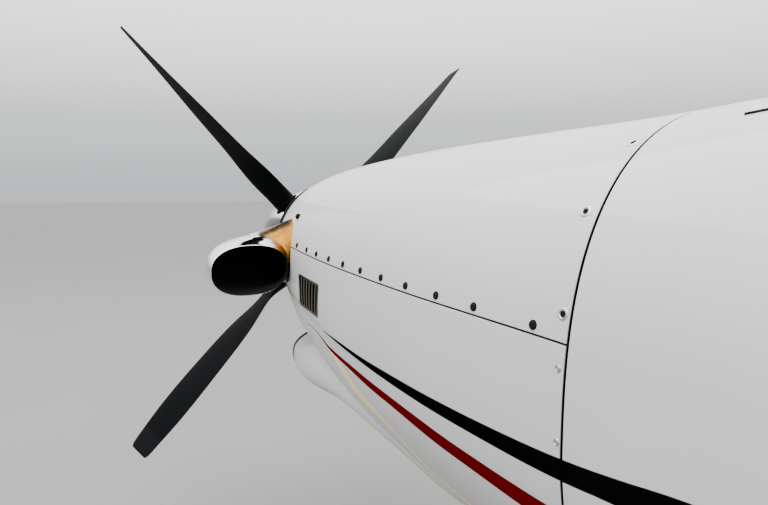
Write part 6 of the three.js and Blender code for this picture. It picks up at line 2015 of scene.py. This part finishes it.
def hull_fittings():
    """Aerials, the beacon, drains, an air vent, static ports and the dark slots aft of the firewall."""
    steel, white, dark = Form(), Form(), Form()
    for st, height, length in ((3350, 210, 170), (6200, 150, 130)):
        top = float(section(st)[1])
        mast = rounded([[st - length / 2, top - 20], [st + length / 2, top - 20],
                        [st + length * 0.62, top + height], [st + length * 0.28, top + height]], 14, 5)
        rows = [np.column_stack([np.full(len(mast), dx), st + (mast[:, 0] - st) * k, mast[:, 1]]) for dx, k in
                ((-9, 0.92), (-4, 1.0), (4, 1.0), (9, 0.92))]
        white.grid(np.stack(rows))
        white.join(prism([[st - length * 0.62, top - 12], [st + length * 0.62, top - 12],
                          [st + length * 0.55, top + 3], [st - length * 0.55, top + 4]], -22, 22, 6))
    beacon = np.array([0, BEACON_ST, float(section(BEACON_ST)[1])])
    white.join(turned_profile([(0, -6), (46, -6), (46, 0), (38, 4), (0, 4)], beacon, UP, 48))
    lens_form = turned_profile([(0, 2), (34, 2), (34, 24), (28, 44), (14, 56), (0, 59)], beacon, UP,
                               48)
    piece("beacon_lens", lens_form, "airframe", "window_glass", RED_LENS)
    drains = Form()
    for st in (2500, 5200):
        low = float(section(st)[2])
        drains.join(turned_profile([(0, 6), (9, 6), (9, -2), (5, -14), (0, -14)], (60, st, low + 4),
                                   UP, 20))
    vent = [(16, -30), (22, -30), (26, -10), (26, 10), (22, 10), (20, -8)]
    spot, _ = on_skin(1, 2060, 930)
    steel.join(turned_profile(vent, spot - (8, 0, 0), AFT, 32, wrap=True))
    for side in SIDES.values():
        spot, normal = on_skin(side, 3300, 1330)
        steel.join(turned_profile([(0, -1), (22, -1), (22, 1.2), (18, 2), (5, 2), (3.4, -3), (0, -3)],
                                  spot, normal, 40))
        route = [on_skin(side, st, 1626 + (st - 1854) * 0.13)[0] for st in (1854, 1900, 1950, 2000)]
        dark.join(pipe(route, 3.2, 10, 16))
    piece("shell_slots", dark, "airframe", "tyre_rubber", SOOT_AND_SHADE)
    piece("hull_aerials", white, "airframe", "airframe_paint", PAINT, bevel=2)
    piece("hull_ports", steel.join(drains), "airframe", "leg_paint", STEEL)


# Camera, floor and lights
PHOTO_WIDTH = 768
FOCAL_PIXELS = 645.0
CAMERA_PLACE = (1.30, -1.74, 1.526)
CAMERA_YAW, CAMERA_PITCH = math.radians(35.1), math.radians(6.05)


def camera():
    data = bpy.data.cameras.new("photo_camera")
    data.sensor_fit, data.sensor_width = "HORIZONTAL", 36.0
    data.lens = FOCAL_PIXELS / PHOTO_WIDTH * data.sensor_width
    data.clip_start, data.clip_end = 0.02, 300
    thing = bpy.data.objects.new("photo_camera", data)
    bpy.context.scene.collection.objects.link(thing)
    ahead = Vector((-math.sin(CAMERA_YAW) * math.cos(CAMERA_PITCH),
                    -math.cos(CAMERA_YAW) * math.cos(CAMERA_PITCH), -math.sin(CAMERA_PITCH)))
    thing.location = CAMERA_PLACE
    thing.rotation_euler = ahead.to_track_quat("-Z", "Y").to_euler()
    bpy.context.scene.camera = thing


FLOOR_RADIUS, FLOOR_THICKNESS = 60000, 60


def stage():
    look = Look("studio_floor", (0.14, 0.14, 0.137), 0.8)
    color = look.mix(look.noise(1.2, 5.0), (0.132, 0.132, 0.129), (0.148, 0.148, 0.145))
    a = full_turn(96)
    disc = np.column_stack([np.cos(a), np.sin(a), 0 * a])
    edges = ((FLOOR_RADIUS, -FLOOR_THICKNESS), (FLOOR_RADIUS, 0), (20000, 0), (1, 0))
    rows = np.stack([disc * r + (0, MID_LENGTH, z) for r, z in edges])
    mesh = Form().grid(rows).mesh("studio_floor")
    mesh.materials.append(look.wear(Base_Color=color))
    floor = bpy.data.objects.new("studio_floor", mesh)
    bpy.context.scene.collection.objects.link(floor)


def area_light(name, place, aim, size, power):
    data = bpy.data.lights.new(name, "AREA")
    data.shape, data.size, data.size_y = "RECTANGLE", *size
    data.energy = power
    thing = bpy.data.objects.new(name, data)
    bpy.context.scene.collection.objects.link(thing)
    thing.location = place
    thing.rotation_euler = (Vector(aim) - Vector(place)).to_track_quat("-Z", "Y").to_euler()


def lights():
    """An overcast sky, dimmer towards the horizon, a large soft panel above and a weak one on the left."""
    world = bpy.data.worlds.new("studio")
    bpy.context.scene.world = world
    world.use_nodes = True
    tree = world.node_tree
    rise = add_node(tree, "SeparateXYZ", [add_node(tree, "TexCoord")], output=2)
    stops = [(0.0, (0.14, 0.14, 0.14)), (0.5, (0.30, 0.31, 0.32)), (0.55, (0.42, 0.43, 0.44)),
             (0.62, (0.86, 0.87, 0.88)), (0.72, (1.2, 1.2, 1.2)), (1.0, (1.5, 1.5, 1.5))]
    sky = add_node(tree, "ValToRGB", [add_node(tree, "MapRange", (rise, -1, 1))], stops=stops)
    background = tree.nodes["Background"].inputs
    put(tree, background["Color"], sky)
    put(tree, background["Strength"], 2.4)
    area_light("sky_panel", (1.0, -2.0, 9.0), (0, -1, 1), (14, 14), 2600)
    area_light("side_panel", (9.0, -4.0, 6.0), (0, -1, 1), (8, 5), 60)


camera()
stage()
lights()
nose()
propeller()
engine()
cabin()
wings()
tail()
main_gear()
nose_gear()
flight_deck()
seats()
hull_fittings()
